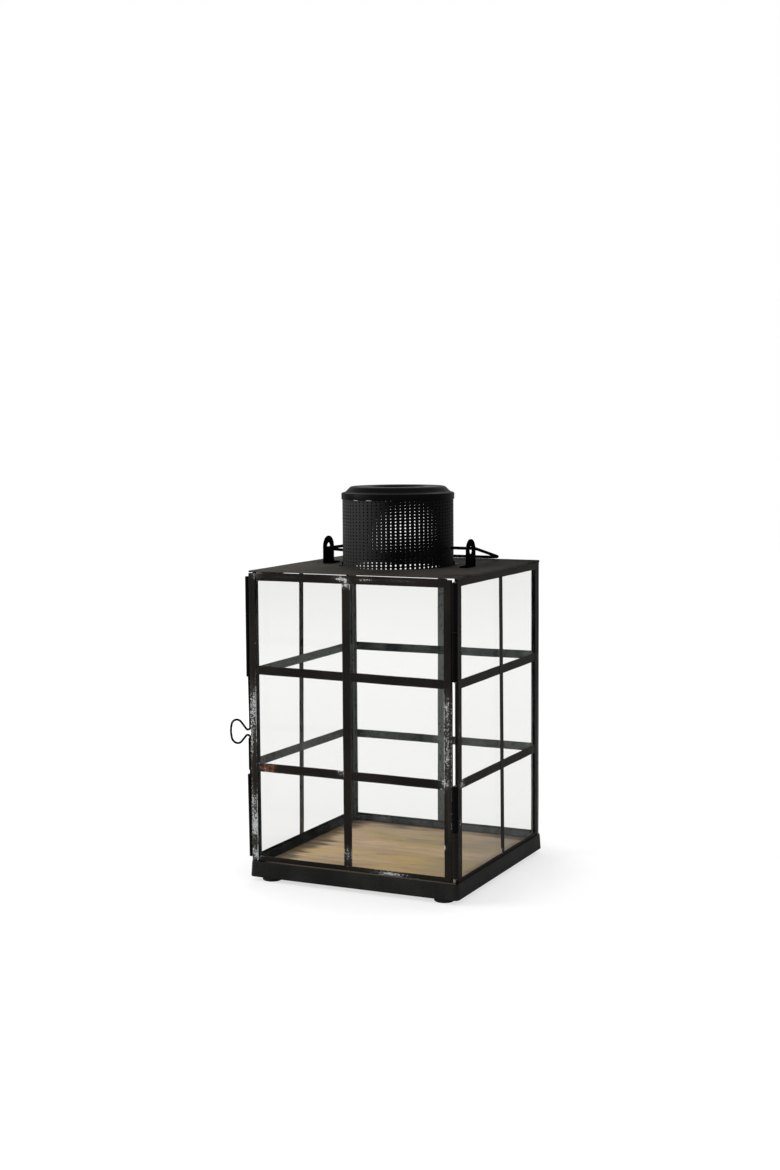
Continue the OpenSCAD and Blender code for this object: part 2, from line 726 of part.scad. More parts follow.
module door_tube_upper() { door_tube(door_upper_z, upper_tube_len); }
module door_tube_lower() { door_tube(door_lower_z, lower_tube_len); }
module case_tube_upper() { case_tube(case_upper_z, upper_tube_len); }
module case_tube_lower() { case_tube(case_lower_z, lower_tube_len); }
module hinge_pin_upper() { hinge_pin(case_upper_z, upper_tube_len); }
module hinge_pin_lower() { hinge_pin(door_lower_z, lower_tube_len); }

// ---- Latch ----

// Tube on the edge of the latch stile
module latch_guide(z, top) {
    color([0.1, 0.1, 0.1]) translate([latch_x, latch_y, z]) difference() {
        cylinder(d = latch_tube_d, h = top - z, $fn = 48);
        translate([0, 0, -past])
            cylinder(r = latch_wire_d / 2 + latch_clear, h = top - z + 2 * past, $fn = 48);
    }
}
module latch_guide_upper() { latch_guide(upper_guide_bottom, upper_guide_top); }
module latch_guide_lower() { latch_guide(lower_guide_z, lower_guide_top); }

// Clip on the left panel: a tube that is open to the front, on a leaf
module latch_clip() {
    mouth = latch_wire_d + 2 * latch_clear;
    door_back = front_y + frame_t + move_gap;
    neck_y = latch_y + clip_d / 2 - move_gap;
    leaf_y = panel_front_y + clip_leaf;
    color([0.1, 0.1, 0.1]) difference() {
        union() {
            translate([latch_x, latch_y, clip_z]) cylinder(d = clip_d, h = clip_h, $fn = 48);
            translate([latch_x - clip_leaf_t / 2, neck_y, clip_z])
                cube([left_x - clip_leaf_t - latch_x + clip_leaf_t,
                      door_back + clip_leaf_t - neck_y, clip_h]);
            translate([left_x - clip_leaf_t, door_back, clip_z])
                cube([clip_leaf_t, leaf_y - door_back, clip_h]);
        }
        translate([latch_x, latch_y, clip_z - past])
            cylinder(d = mouth, h = clip_h + 2 * past, $fn = 48);
        translate([latch_x - mouth / 2, latch_y - clip_d, clip_z - past])
            cube([mouth, clip_d, clip_h + 2 * past]);
    }
}

// Half of the latch wire in the XY plane, its leg along y and its loop towards -x:
// the leg from its far end, the bend at the neck, and the loop to its outer side
module half_latch(side, leg_end) {
    neck_c = [-neck_r, neck_z];
    away = wrap(heading(neck_c, loop_end_c)
        - asin((neck_r + loop_end_r) / norm(loop_end_c - neck_c)));
    climb = away < 0 ? away + 360 : away;
    leave = neck_c + neck_r * [cos(climb + 90), sin(climb + 90)];
    join = loop_end_c + loop_end_r * [cos(climb - 90), sin(climb - 90)];
    outer = loop_side_c + loop_side_r * [-cos(loop_side_a), sin(loop_side_a)];
    flip = [[1, 0], [0, side]];
    straight([0, side * neck_z], [0, side * leg_end], latch_wire_d);
    arc(flip * neck_c, neck_r, side * (climb - 270), 0, latch_wire_d);
    straight(flip * leave, flip * join, latch_wire_d);
    arc(flip * loop_end_c, loop_end_r, side * (climb - 90), side * (180 - loop_side_a),
        latch_wire_d);
    collar([0, side * neck_z], 90, latch_wire_d);
    for (at = [leave, join]) collar(flip * at, side * climb, latch_wire_d);
    collar(flip * outer, side * (90 - loop_side_a), latch_wire_d);
}

// Latch wire: a long leg in the upper tube, a finger loop and a short lower leg
module latch_wire() {
    top = upper_guide_bottom + wire_in_guide;
    bottom = lower_guide_top - wire_in_tube;
    color([0.05, 0.05, 0.05]) translate([latch_x, latch_y, loop_mid]) rotate([90, 0, 0]) {
        half_latch(1, top - loop_mid);
        half_latch(-1, loop_mid - bottom);
        arc(loop_side_c, loop_side_r, 180 - loop_side_a, 180 + loop_side_a, latch_wire_d);
    }
}

base_tray();
feet();
candle_board();
left_front_stile();
left_back_stile();
left_head();
left_sill();
left_mullion();
left_upper_bars();
left_lower_bars();
left_glass();
right_front_stile();
right_back_stile();
right_head();
right_sill();
right_mullion();
right_upper_bars();
right_lower_bars();
right_glass();
back_left_stile();
back_right_stile();
back_head();
back_sill();
back_mullion();
back_upper_bars();
back_lower_bars();
back_glass();
roof_plate();
chimney_tube();
chimney_cap();
chimney_tabs();
ear_left();
ear_right();
ear_rivets();
bail_handle();
door_latch_stile();
door_hinge_stile();
door_head();
door_sill();
door_mullion();
door_upper_bars();
door_lower_bars();
door_glass();
door_tube_upper();
door_tube_lower();
case_tube_upper();
case_tube_lower();
hinge_pin_upper();
hinge_pin_lower();
latch_guide_upper();
latch_guide_lower();
latch_clip();
latch_wire();
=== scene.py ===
import math

import bpy
import numpy as np
from mathutils import Matrix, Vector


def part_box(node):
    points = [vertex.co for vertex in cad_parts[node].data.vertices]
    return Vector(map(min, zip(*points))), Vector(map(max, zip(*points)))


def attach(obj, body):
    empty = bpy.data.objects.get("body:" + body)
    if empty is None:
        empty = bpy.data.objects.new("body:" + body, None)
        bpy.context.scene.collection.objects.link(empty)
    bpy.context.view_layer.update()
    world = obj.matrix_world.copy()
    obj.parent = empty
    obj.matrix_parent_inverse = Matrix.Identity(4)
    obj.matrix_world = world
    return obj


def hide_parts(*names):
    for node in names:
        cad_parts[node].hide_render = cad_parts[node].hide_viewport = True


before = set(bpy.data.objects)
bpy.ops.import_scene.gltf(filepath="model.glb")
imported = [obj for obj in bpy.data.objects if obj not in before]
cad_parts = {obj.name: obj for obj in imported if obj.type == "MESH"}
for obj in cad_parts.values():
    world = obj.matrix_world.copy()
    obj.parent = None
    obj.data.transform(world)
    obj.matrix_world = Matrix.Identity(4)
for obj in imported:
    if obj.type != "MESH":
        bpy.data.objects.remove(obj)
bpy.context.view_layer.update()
mm = 0.001
print("frame loaded with", len(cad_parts), "nodes")


class Signal:
    # a socket that can be added, taken away, multiplied and raised
    def __init__(self, recipe, socket):
        self.recipe, self.socket = recipe, socket

    def join(self, operation, other):
        return self.recipe.node("Math", {"operation": operation}, {0: self, 1: other})

    def __add__(self, other): return self.join("ADD", other)
    def __sub__(self, other): return self.join("SUBTRACT", other)
    def __mul__(self, other): return self.join("MULTIPLY", other)
    def __pow__(self, other): return self.join("POWER", other)
    def most(self, other): return self.join("MAXIMUM", other)


class Recipe:
    # the node tree of one finish, or of the world
    def __init__(self, name, tree=None):
        if tree is None:
            self.material = bpy.data.materials.new(name)
            self.material.use_nodes = True
            tree = self.material.node_tree
        self.tree = tree
        tree.nodes.clear()

    def node(self, kind, settings=None, values=None, take=0):
        made = self.tree.nodes.new("ShaderNode" + kind)
        for key, value in (settings or {}).items():
            setattr(made, key, value)
        for key, value in (values or {}).items():
            if isinstance(value, Signal):
                self.tree.links.new(value.socket, made.inputs[key])
            else:
                made.inputs[key].default_value = value
        if isinstance(take, tuple):
            return [Signal(self, made.outputs[key]) for key in take]
        return Signal(self, made.outputs[take]) if made.outputs else None

    def place(self, stretch=(1, 1, 1), shift=(0, 0, 0)):
        # object coordinates in metres, stretched per axis
        here = self.node("TexCoord", take="Object")
        return self.node("Mapping", None, {"Vector": here, "Location": shift, "Scale": stretch})

    def noise(self, scale, detail=3, roughness=0.5, stretch=(1, 1, 1), shift=(0, 0, 0), distortion=0):
        return self.node("TexNoise", None, {
            "Vector": self.place(stretch, shift), "Scale": scale, "Detail": detail,
            "Roughness": roughness, "Distortion": distortion})

    def axis(self, which):
        return self.node("SeparateXYZ", None, {0: self.node("TexCoord", take="Object")}, which)

    def marks(self):
        # what the piece's own points say: bare metal, rust, inner face
        # on frame strips the first mark also carries painted light and shade on the zinc and painted edge
        # highlights
        worn = self.node("Attribute", {"attribute_name": "marks"}, None, "Color")
        return self.node("SeparateColor", None, {0: worn}, (0, 1, 2))

    def rise(self, signal, low, high, bottom=0.0, top=1.0):
        # smooth step from one level to another
        return self.node("MapRange", {"interpolation_type": "SMOOTHSTEP"}, {
            "Value": signal, "From Min": low, "From Max": high, "To Min": bottom, "To Max": top})

    def tint(self, mask, first, second):
        # first colour where the mask is 0, second where it is 1
        return self.node("Mix", {"data_type": "RGBA"}, {
            0: mask, 6: first if isinstance(first, Signal) else (*first, 1),
            7: second if isinstance(second, Signal) else (*second, 1)}, 2)

    def layer(self, share, first, second):
        return self.node("MixShader", None, {0: share, 1: first, 2: second})

    def bump(self, height, distance, strength=1.0):
        return self.node("Bump", None, {"Height": height, "Distance": distance, "Strength": strength})

    def finish(self, colour, roughness, gloss, relief=None, metallic=0):
        values = {"Base Color": colour, "Roughness": roughness, "Specular IOR Level": gloss, "Metallic": metallic}
        if relief:
            values["Normal"] = relief
        skin = self.node("BsdfPrincipled", None, values)
        self.node("OutputMaterial", None, {"Surface": skin})
        return self.material


framePaint = {"dark": (0.0062, 0.0056, 0.0046), "warm": (0.0140, 0.0112, 0.0084),
    "rubbedAndHighlight": (0.034, 0.030, 0.026), "bare": (0.60, 0.61, 0.62), "dull": (0.15, 0.152, 0.150),
    "rustDeep": (0.030, 0.011, 0.007), "rustLight": (0.15, 0.070, 0.042),
    "zincDarkAndShaded": (0.012, 0.015, 0.016), "zincLightAndLit": (0.200, 0.225, 0.220),
    "solder": (0.34, 0.345, 0.335), "gloss": 0.07}


def makeFramePaint():
    # near-black paint, worn and chipped where the marks say so, with painted edge highlights; the inner faces are
    # patchy zinc
    look, p = Recipe("wornFramePaint"), framePaint
    bare, rust, inside = look.marks()
    broad = look.noise(17, 4, 0.6)
    grain = look.noise(1150, 4, 0.7)
    flakes = look.noise(400, 6, 0.75, shift=(3.1, 0.7, 1.9))
    upright, level = look.noise(1100, 2, 0.5, (1, 1, 0.07)), look.noise(1000, 2, 0.5, (0.07, 0.07, 1))
    body = look.tint(look.rise(broad * 0.65 + flakes * 0.35, 0.40, 0.62), p["dark"], p["warm"])
    # this tone is worn paint and also a painted highlight along the strips' edges
    body = look.tint(look.rise(bare * 1.3 + flakes * 0.7, 0.50, 1.05), body, p["rubbedAndHighlight"])
    chip = look.rise(flakes * 0.58 + grain * 0.42 + bare * 0.44, 0.745, 0.765)
    scratch = look.rise(upright.most(level) + bare * 0.30, 0.86, 0.90) * 0.7
    metal = look.tint(look.rise(grain, 0.34, 0.58), p["dull"], p["bare"])
    oxide = look.tint(look.rise(flakes, 0.40, 0.62), p["rustDeep"], p["rustLight"])
    eaten = look.rise(rust * 0.75 + flakes * 0.6 + grain * 0.3, 0.72, 0.90)
    front = look.tint(chip.most(scratch), look.tint(eaten, body, oxide), metal)
    # zinc of the inner faces: as light as the red mark says, specked with paint and dabbed with solder
    cloud = look.noise(42, 5, 0.62, stretch=(1, 1, 0.5), shift=(1.3, 4.2, 0.4))
    speck = look.noise(620, 3, 0.6, stretch=(1, 1, 0.6), shift=(7.7, 2.1, 5.5))
    # on these faces the red mark is painted light and shade, over the zinc's own patches
    zinc = look.tint(look.rise(cloud * 0.75 + speck * 0.35 + bare, 0.56, 1.12), p["zincDarkAndShaded"], p["zincLightAndLit"])
    zinc = look.tint(look.rise(speck * 0.6 + cloud * 0.4, 0.53, 0.60) * 0.6, zinc, p["dark"])
    dab = look.rise(bare + (cloud - 0.5) * 0.6 + (flakes - 0.5) * 0.5, 0.74, 0.86)
    zinc = look.tint(dab, zinc, p["solder"])
    colour = look.tint(look.rise(inside, 0.35, 0.65), front, zinc)
    rough = look.rise(flakes * 0.5 + broad * 0.5, 0.3, 0.7, 0.44, 0.68)
    relief = look.bump(flakes * 0.35 + broad * 0.6 - chip * 0.25 + eaten * 0.3, 0.00022, 0.7)
    return look.finish(colour, rough, p["gloss"], relief)


roofPaint = {"dark": (0.0085, 0.0080, 0.0074), "brown": (0.052, 0.047, 0.042), "dustAndSheen": (0.092, 0.085, 0.074),
    "chip": (0.30, 0.30, 0.29), "gloss": 0.015}


def makeRoofPaint():
    # brown-black plate paint, dusty in patches, with a painted reflection lighter towards the left, chipped along
    # its edges
    look, p = Recipe("roofPaint"), roofPaint
    bare = look.marks()[0]
    broad = look.noise(20, 5, 0.6, stretch=(0.6, 1, 1))
    grain = look.noise(360, 5, 0.65)
    across = look.axis("X")
    # painted reflection: both tones grow towards the left (smaller x), where the plate mirrors the bright side;
    # the noises give their patches
    body = look.tint(look.rise(broad * 0.8 + grain * 0.2 - across * 0.35, 0.34, 0.56), p["dark"], p["brown"])
    body = look.tint(look.rise(broad * 0.5 + grain * 0.5 - across * 2.2, 0.54, 0.84), body, p["dustAndSheen"])
    chip = look.rise(grain * 0.7 + broad * 0.2 + bare * 0.6, 0.68, 0.74)
    colour = look.tint(chip, body, p["chip"])
    relief = look.bump(broad * 0.8 + grain * 0.2, 0.0004, 0.6)
    return look.finish(colour, look.rise(broad, 0.35, 0.65, 0.66, 0.84), p["gloss"], relief)


meshPaintLitLeft = {"black": (0.0030, 0.0030, 0.0032), "grey": (0.026, 0.026, 0.0255), "left": (-0.904, -0.427),
    "reach": (0.004, 0.036), "skin": (0.0502, 0.0506), "gloss": 0.035}


def makeMeshPaint():
    # matt black, painted grey on its left as the light of the lamp there, and black inside the tube and in the
    # holes
    look, p = Recipe("meshPaintLitLeft"), meshPaintLitLeft
    x, y = look.axis("X"), look.axis("Y")
    grain = look.noise(700, 4, 0.6)
    # painted light: grey on the outer face's side towards the lamp on the left
    side = look.rise(grain * 0.004 + x * p["left"][0] + y * p["left"][1], *p["reach"])
    skin = look.rise((x ** 2 + y ** 2) ** 0.5, *p["skin"])
    colour = look.tint(side * skin, p["black"], p["grey"])
    return look.finish(colour, look.rise(grain, 0.35, 0.65, 0.40, 0.50), p["gloss"])


boardWood = {"pale": (0.80, 0.58, 0.37), "mid": (0.56, 0.41, 0.235), "gold": (0.68, 0.48, 0.19),
    "pink": (0.44, 0.290, 0.200), "vein": (0.27, 0.185, 0.105), "grey": (0.30, 0.270, 0.215),
    "edgeDark": (0.026, 0.021, 0.017), "gloss": 0.2}


def makeBoardWood():
    # planed softwood with its grain along x, golden in the middle, greyed towards the back and the right,
    # and dark round its edges in a ragged band
    look, p = Recipe("boardWood"), boardWood
    bend = look.noise(24, 4, 0.55, stretch=(0.35, 1, 1))
    long = look.noise(85, 6, 0.62, stretch=(0.10, 1, 1), distortion=0.4)
    fine = look.noise(540, 4, 0.65, stretch=(0.09, 1, 1))
    band = look.noise(62, 4, 0.6, stretch=(0.22, 1, 1), shift=(2.2, 6.1, 0.3))
    streak = look.noise(330, 5, 0.7, stretch=(0.11, 1, 1), shift=(5.2, 1.1, 2.3))
    x, y = look.axis("X"), look.axis("Y")
    wood = look.tint(look.rise(long * 0.6 + fine * 0.4, 0.40, 0.60), p["mid"], p["pale"])
    for signal, low, high, share, tone in (
            (bend - y * 0.8, 0.46, 0.58, 0.75, "gold"), (band * 0.6 + fine * 0.4, 0.51, 0.62, 0.65, "pink"),
            (streak * 0.6 + long * 0.4, 0.52, 0.66, 0.55, "vein"),
            (long * 0.5 + bend * 0.5 + y * 2.2, 0.52, 0.78, 0.6, "grey"),
            (x + (bend - 0.5) * 0.1, 0.030, 0.085, 0.55, "grey")):
        wood = look.tint(look.rise(signal, low, high) * share, wood, p[tone])
    ragged = (long - 0.5) * 0.05 + (bend - 0.5) * 0.035
    left = look.rise(x + 0.0800 + ragged, 0.007, -0.007)
    back = look.rise(y - 0.0810 + ragged, -0.006, 0.006)
    front = look.rise(y + 0.0800 + ragged * 0.3, 0.003, -0.003)
    right = look.rise(x - 0.0890 + ragged * 0.5, -0.006, 0.006) * 0.7
    border = (left.most(back).most(right) * look.rise(fine + long, 0.70, 1.05, 1.0, 0.72)).most(front)
    colour = look.tint(border * 0.93, wood, p["edgeDark"])
    relief = look.bump(fine * 0.6 + long * 0.5, 0.0003, 0.5)
    return look.finish(colour, look.rise(fine, 0.35, 0.65, 0.58, 0.76), p["gloss"], relief)


coats = {  # scale, detail and roughness of a broad and a fine noise; the broad one's share in mixing the tones
    "chimneyPaint": {"broad": (26, 4, 0.55, (1, 1, 0.35)), "fine": (800, 4, 0.6), "share": 0.75,
        "dark": (0.0006, 0.0006, 0.0007), "light": (0.0026, 0.0026, 0.0025), "turn": (0.38, 0.64),
        "worn": (0.50, 0.50, 0.49), "chips": (0.1, 0.6, 0.6), "chipTurn": (0.62, 0.66),
        "rough": (0.33, 0.46), "relief": (1, 0.3, 0.0002, 0.5), "gloss": 0.035},
    "trayPaint": {"broad": (22, 4, 0.6, (1, 1, 0.5)), "fine": (700, 5, 0.66), "share": 0.7,
        "dark": (0.0085, 0.0084, 0.0080), "light": (0.019, 0.0185, 0.0176), "turn": (0.38, 0.64),
        "worn": (0.34, 0.345, 0.35), "chips": (0.1, 0.8, 0.55), "chipTurn": (0.73, 0.76),
        "rough": (0.45, 0.62), "relief": (1, 0.4, 0.00025, 0.6), "gloss": 0.07},
    "blackWire": {"broad": (60, 4, 0.6), "fine": (900, 4, 0.6), "share": 0.7,
        "dark": (0.0028, 0.0026, 0.0025), "light": (0.0075, 0.0064, 0.0056), "turn": (0.40, 0.62),
        "worn": (0.06, 0.052, 0.045), "chips": (0.4, 0.6, 0), "chipTurn": (0.62, 0.70),
        "rough": (0.48, 0.66), "relief": (1, 1, 0.0001, 0.4), "gloss": 0.0},
    "footRubber": {"broad": (60, 3, 0.6), "fine": (700, 3, 0.6), "share": 0,
        "dark": (0.006, 0.006, 0.006), "light": (0.014, 0.014, 0.014), "turn": (0.35, 0.65),
        "fineRough": (0.6, 0.8), "relief": (0, 1, 0.0001, 0.5), "gloss": 0.2},
    "pinSteel": {"broad": (130, 4, 0.6), "fine": (900, 3, 0.6), "share": 0.6,
        "dark": (0.10, 0.085, 0.07), "light": (0.28, 0.26, 0.24), "turn": (0.38, 0.62),
        "fineRough": (0.36, 0.56), "relief": (1, 0.4, 0.0002, 0.6), "gloss": 0.5, "metallic": 0.85}}
coats["earBlack"] = {**coats["chimneyPaint"], "gloss": 0.0}
coats["solderTin"] = {**coats["pinSteel"], "dark": (0.070, 0.073, 0.074), "light": (0.26, 0.27, 0.27),
    "metallic": 0.35}


def makeCoat(name):
    # two tones mixed by the noises, a worn tone where the noises and the marks add up to a chip,
    # and a roughness that follows the broad or the fine noise
    look, c = Recipe(name), coats[name]
    broad, fine = look.noise(*c["broad"]), look.noise(*c["fine"])
    mixed = look.rise(broad * c["share"] + fine * (1 - c["share"]), *c["turn"])
    colour = look.tint(mixed, c["dark"], c["light"])
    if "worn" in c:
        few, many, marked = c["chips"]
        chip = look.rise(broad * few + fine * many + look.marks()[0] * marked, *c["chipTurn"])
        colour = look.tint(chip, colour, c["worn"])
    if "rough" in c:
        rough = look.rise(broad, 0.35, 0.65, *c["rough"])
    else:
        rough = look.rise(fine, 0.3, 0.7, *c["fineRough"])
    wide, small, distance, strength = c["relief"]
    relief = look.bump(broad * wide + fine * small, distance, strength)
    return look.finish(colour, rough, c["gloss"], relief, c.get("metallic", 0))


windowGlass = {"clear": (0.9540, 0.9540, 0.9495), "film": (0.50, 0.51, 0.50), "sharp": 0.03, "mirror": 0.03}


def makeGlass():
    # thin window glass: light passes straight through, a little is mirrored, and a faint film lies on it
    look, p = Recipe("windowGlass"), windowGlass
    smear = look.noise(28, 5, 0.62, stretch=(1, 1, 0.6))
    wave = look.bump(look.noise(11, 2, 0.4), 0.0016, 0.35)
    through = look.node("BsdfTransparent", None, {"Color": (*p["clear"], 1)})
    film = look.node("BsdfDiffuse", None, {"Color": (*p["film"], 1)})
    mirror = look.node("BsdfGlossy", None, {
        "Color": (1, 1, 1, 1), "Roughness": p["sharp"], "Normal": wave})
    fresnel = look.node("Fresnel", None, {"IOR": 1.45})
    dusty = look.layer(look.rise(smear, 0.45, 0.75, 0.0, 0.002), through, film)
    look.node("OutputMaterial", None, {"Surface": look.layer(fresnel * p["mirror"], dusty, mirror)})
    return look.material


finishes = {
    "frame_paint": makeFramePaint(), "roof_paint": makeRoofPaint(), "board_wood": makeBoardWood(),
    "glass": makeGlass(), "mesh_paint": makeMeshPaint()}
for finish, coat in (("chimney_paint", "chimneyPaint"), ("tray_paint", "trayPaint"),
                     ("foot_rubber", "footRubber"), ("black_wire", "blackWire"), ("pin_steel", "pinSteel"),
                     ("ear_black", "earBlack"), ("solder_tin", "solderTin")):
    finishes[finish] = makeCoat(coat)
print("finishes mixed:", len(finishes))


def gridFaces(rows, columns, closeRows=False, closeColumns=False):
    # one quad between neighbouring lines of a grid; a closed direction joins its last line to its first
    r, c = np.meshgrid(np.arange(rows if closeRows else rows - 1),
                       np.arange(columns if closeColumns else columns - 1), indexing="ij")
    here, above, over = r * columns, (r + 1) % rows * columns, (c + 1) % columns
    return np.stack([here + c, here + over, above + over, above + c], -1).reshape(-1, 4)


def skinOf(lines, closeRows=False, marks=None):
    # closed shape from a grid of rings; open ends are closed by a fan around the ring's middle
    rows, columns = lines.shape[:2]
    points = lines.reshape(-1, 3)
    worn = np.zeros((len(points), 3)) if marks is None else marks.reshape(-1, 3)
    quads = gridFaces(rows, columns, closeRows, True)
    fans = np.zeros((0, 3), int)
    if not closeRows:
        ring, last = np.arange(columns), (rows - 1) * columns
        after = np.roll(ring, -1)
        fans = np.concatenate([np.stack([after, ring, np.full(columns, len(points))], -1),
                               np.stack([ring + last, after + last, np.full(columns, len(points) + 1)], -1)])
        points = np.concatenate([points, lines[0].mean(0)[None], lines[-1].mean(0)[None]])
        worn = np.concatenate([worn, worn[:1], worn[-1:]])
    return points, quads, fans, worn


def outward(points, quads, fans):
    # turns a closed shape's faces outwards: its signed volume, summed over triangles, must be positive
    corners = np.concatenate([quads[:, [0, 1, 2]], quads[:, [0, 2, 3]], fans])
    a, b, c = (points[corners[:, i]] - points.mean(0) for i in range(3))
    if np.einsum("ij,ij->i", a, np.cross(b, c)).sum() < 0:
        return quads[:, ::-1], fans[:, ::-1]
    return quads, fans


def stand(name, data):
    # a new object at the origin
    piece = bpy.data.objects.new(name, data)
    bpy.context.scene.collection.objects.link(piece)
    return piece


def dress(name, mesh, marks, crease, finish, body, nodes):
    # marks, shading and finish for a mesh, which then rides on its body in place of the nodes
    worn = np.concatenate([np.clip(marks, 0, 1), np.ones((len(marks), 1))], 1).astype(np.float32)
    mesh.attributes.new("marks", "FLOAT_COLOR", "POINT").data.foreach_set("color", worn.ravel())
    mesh.shade_smooth()
    mesh.set_sharp_from_angle(angle=math.radians(crease))
    mesh.materials.append(finishes[finish])
    piece = stand(name, mesh)
    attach(piece, body)
    if nodes:
        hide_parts(*nodes)
    return piece


def makePiece(name, shapes, finish, body, nodes=()):
    # one mesh from several closed shapes
    parts, total = [], 0
    for points, quads, fans, marks in shapes:
        quads, fans = outward(points, quads, fans)
        parts.append((points, quads + total, fans + total, marks))
        total += len(points)
    points, quads, fans, marks = (np.concatenate(part) for part in zip(*parts))
    corners = np.concatenate([quads.ravel(), fans.ravel()]).astype(np.int32)
    starts = np.concatenate([np.arange(len(quads)) * 4, len(quads) * 4 + np.arange(len(fans)) * 3])
    mesh = bpy.data.meshes.new(name)
    mesh.vertices.add(total)
    mesh.vertices.foreach_set("co", points.astype(np.float32).ravel())
    mesh.loops.add(len(corners))
    mesh.loops.foreach_set("vertex_index", corners)
    mesh.polygons.add(len(starts))
    mesh.polygons.foreach_set("loop_start", starts.astype(np.int32))
    mesh.update(calc_edges=True)
    mesh.validate()
    return dress(name, mesh, marks, stripMake["crease"], finish, body, nodes)


def boxOf(node):
    # low and high corner of a node, in millimetres
    return np.array(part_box(node)) / mm


def circle(count):
    # angles evenly spread round a circle
    return np.linspace(0, 2 * np.pi, count, endpoint=False)


def ray(turn):
    # directions in the plane from their angles
    return np.stack([np.cos(turn), np.sin(turn)], -1)


def unit(direction):
    return direction / np.linalg.norm(direction, axis=-1, keepdims=True)


def nearSpots(points, spots):
    # sum of soft round marks, each strength times e to the minus squared distance over its reach;
    # a spot is written as its middle, its reach on each axis and its strength, in millimetres
    total = np.zeros(len(points))
    for *middle, wide, deep, tall, strength in spots:
        total += strength * np.exp(-(((points / mm - middle) / (wide, deep, tall)) ** 2).sum(-1))
    return total


stripMake = {"fold": 0.6, "web": 1.2, "bend": 0.75, "lip": 0.2, "lipCut": 1.8, "step": 2.5, "sheet": 0.32,
    "barSink": 0.30, "thinLip": 0.1, "endTuck": 0.35, "firstStep": 1.2, "edgeWear": 0.36,
    "waver": 0.07, "waves": (0.7, 0.5), "wavePace": (40, 90), "round": 6.28, "crease": 38}

frontSpots = [(x, -100, z, wide, 3, tall, strength) for x, z, wide, tall, strength in (
    # middle, reach and strength of each worn place on the door, in millimetres; the long one at x -99.4 is a
    # painted edge highlight
    (-96.5, 162, 4, 22, 0.56), (-97.0, 128, 4, 20, 0.34), (-96.5, 50, 4, 14, 0.66), (-96.5, 74, 4, 12, 0.46),
    (-96, 24, 5, 9, 0.58), (-93, 277, 7, 4, 0.42), (-10, 277.2, 9, 2.4, 0.60), (15, 276.6, 9, 2.2, 0.54),
    (48, 277.2, 24, 1.6, 0.42), (-60, 276.8, 26, 1.6, 0.28), (-3.5, 272, 4.5, 5, 0.62),
    (-3.5, 34, 4.2, 9, 0.52), (92.0, 132, 4.5, 34, 0.54), (92.0, 172, 4, 16, 0.40), (94, 72, 3, 26, 0.30),
    (38, 20.6, 24, 2.4, 0.60), (89.4, 49, 2.0, 2.0, 0.70), (-99.4, 100, 1.2, 95, 0.34),
    (-10.5, 105.5, 4, 4, 0.50), (88, 104.5, 5, 4, 0.44), (-84, 104.5, 9, 4.5, 0.40))]
# the tall narrow spots near the post's front edge (y -90 to -93) are bright chips that also paint highlights on
# the post
rightSpots = [(100, -86, 102.5, 6, 8, 4.5, 0.60), (100, -93, 230, 3, 3, 18, 0.30),
    (100, -91, 150, 3, 3, 12, 0.44), (100, -90, 70, 3, 2.5, 8, 0.48), (100, -92, 40, 3, 4, 20, 0.34),
    (100, 5, 24, 3, 2.5, 3, 0.66)]
solderSpots = [(95, 99.6, 190, 9, 3, 4, 0.55), (-95, 99.6, 190, 5, 3, 4, 0.40), (-99.6, 92, 190, 3, 5, 4, 0.35),
    (-99.6, 2, 103, 3, 5, 4, 0.40), (95, 99.6, 103, 7, 3, 4, 0.42), (0, 99.6, 103, 6, 3, 5, 0.35)]
# painted light and shade: how light each strip's inner zinc is drawn, over the zinc's own patches
innerPaintedLight = {  # how light the zinc of an inner face is at the start and the end of its run
    "back_mullion": (0.50, 0.62), "back_left_stile": (0.55, 0.60), "back_right_stile": (0.62, -0.10),
    "left_mullion": (0.30, 0.02), "left_upper_bars": (0.44, 0.46), "left_lower_bars": (0.40, 0.34),
    "back_upper_bars": (0.20, 0.24), "back_lower_bars": (0.26, 0.30), "back_sill": (0.22, 0.28),
    "left_sill": (0.06, 0.16), "left_back_stile": (0.2, 0.2)}
rustSpots = [(-84, -100, 104.5, 11, 3, 5, 0.75), (-45, -100, 103, 30, 3, 4, 0.30), (0, -100, 190, 95, 3, 4, 0.26),
    (100, -97, 125, 3, 4, 46, 0.62), (100, -87, 102, 4, 7, 4, 0.60), (-40, -100, 277, 60, 3, 4, 0.22)]


def edgeSection(width, depth):
    # closed section of a strip folded round the edge of the glass: across, deep, edge wear with painted edge
    # highlight, and inner face;
    # its outer face is full width and its inner face stops short
    s = stripMake
    fold, lip, bend, inner = s["fold"], s["lip"], s["bend"], width - s["lipCut"]
    turn = np.radians([0, 22.5, 45, 67.5, 90])
    outer = [(width, lip, .7, 0), (width - lip, 0, .9, 0)]
    outer += [(across, 0, .05, 0) for across in np.linspace(width - 4 * lip, bend + 0.7, 4)]
    arc = [(bend - bend * math.sin(a), bend - bend * math.cos(a), .8 * math.sin(2 * a), 0) for a in turn]
    arcBack = [(across, depth - deep, edge * .7, 1) for across, deep, edge, _ in arc[::-1]]
    back = [(across, depth, .05, 1) for across in np.linspace(bend + 0.7, inner - 2 * lip, 3)]
    back += [(inner - lip, depth, .6, 1), (inner, depth - lip, .5, 1), (inner, depth - fold, .2, 1)]
    slot = [(s["web"], depth - fold, 0, 1), (s["web"], fold, 0, 1), (width, fold, .2, 1)]
    return np.array(outer + arc + [(0, depth / 2, .05, 0)] + arcBack + back + slot)


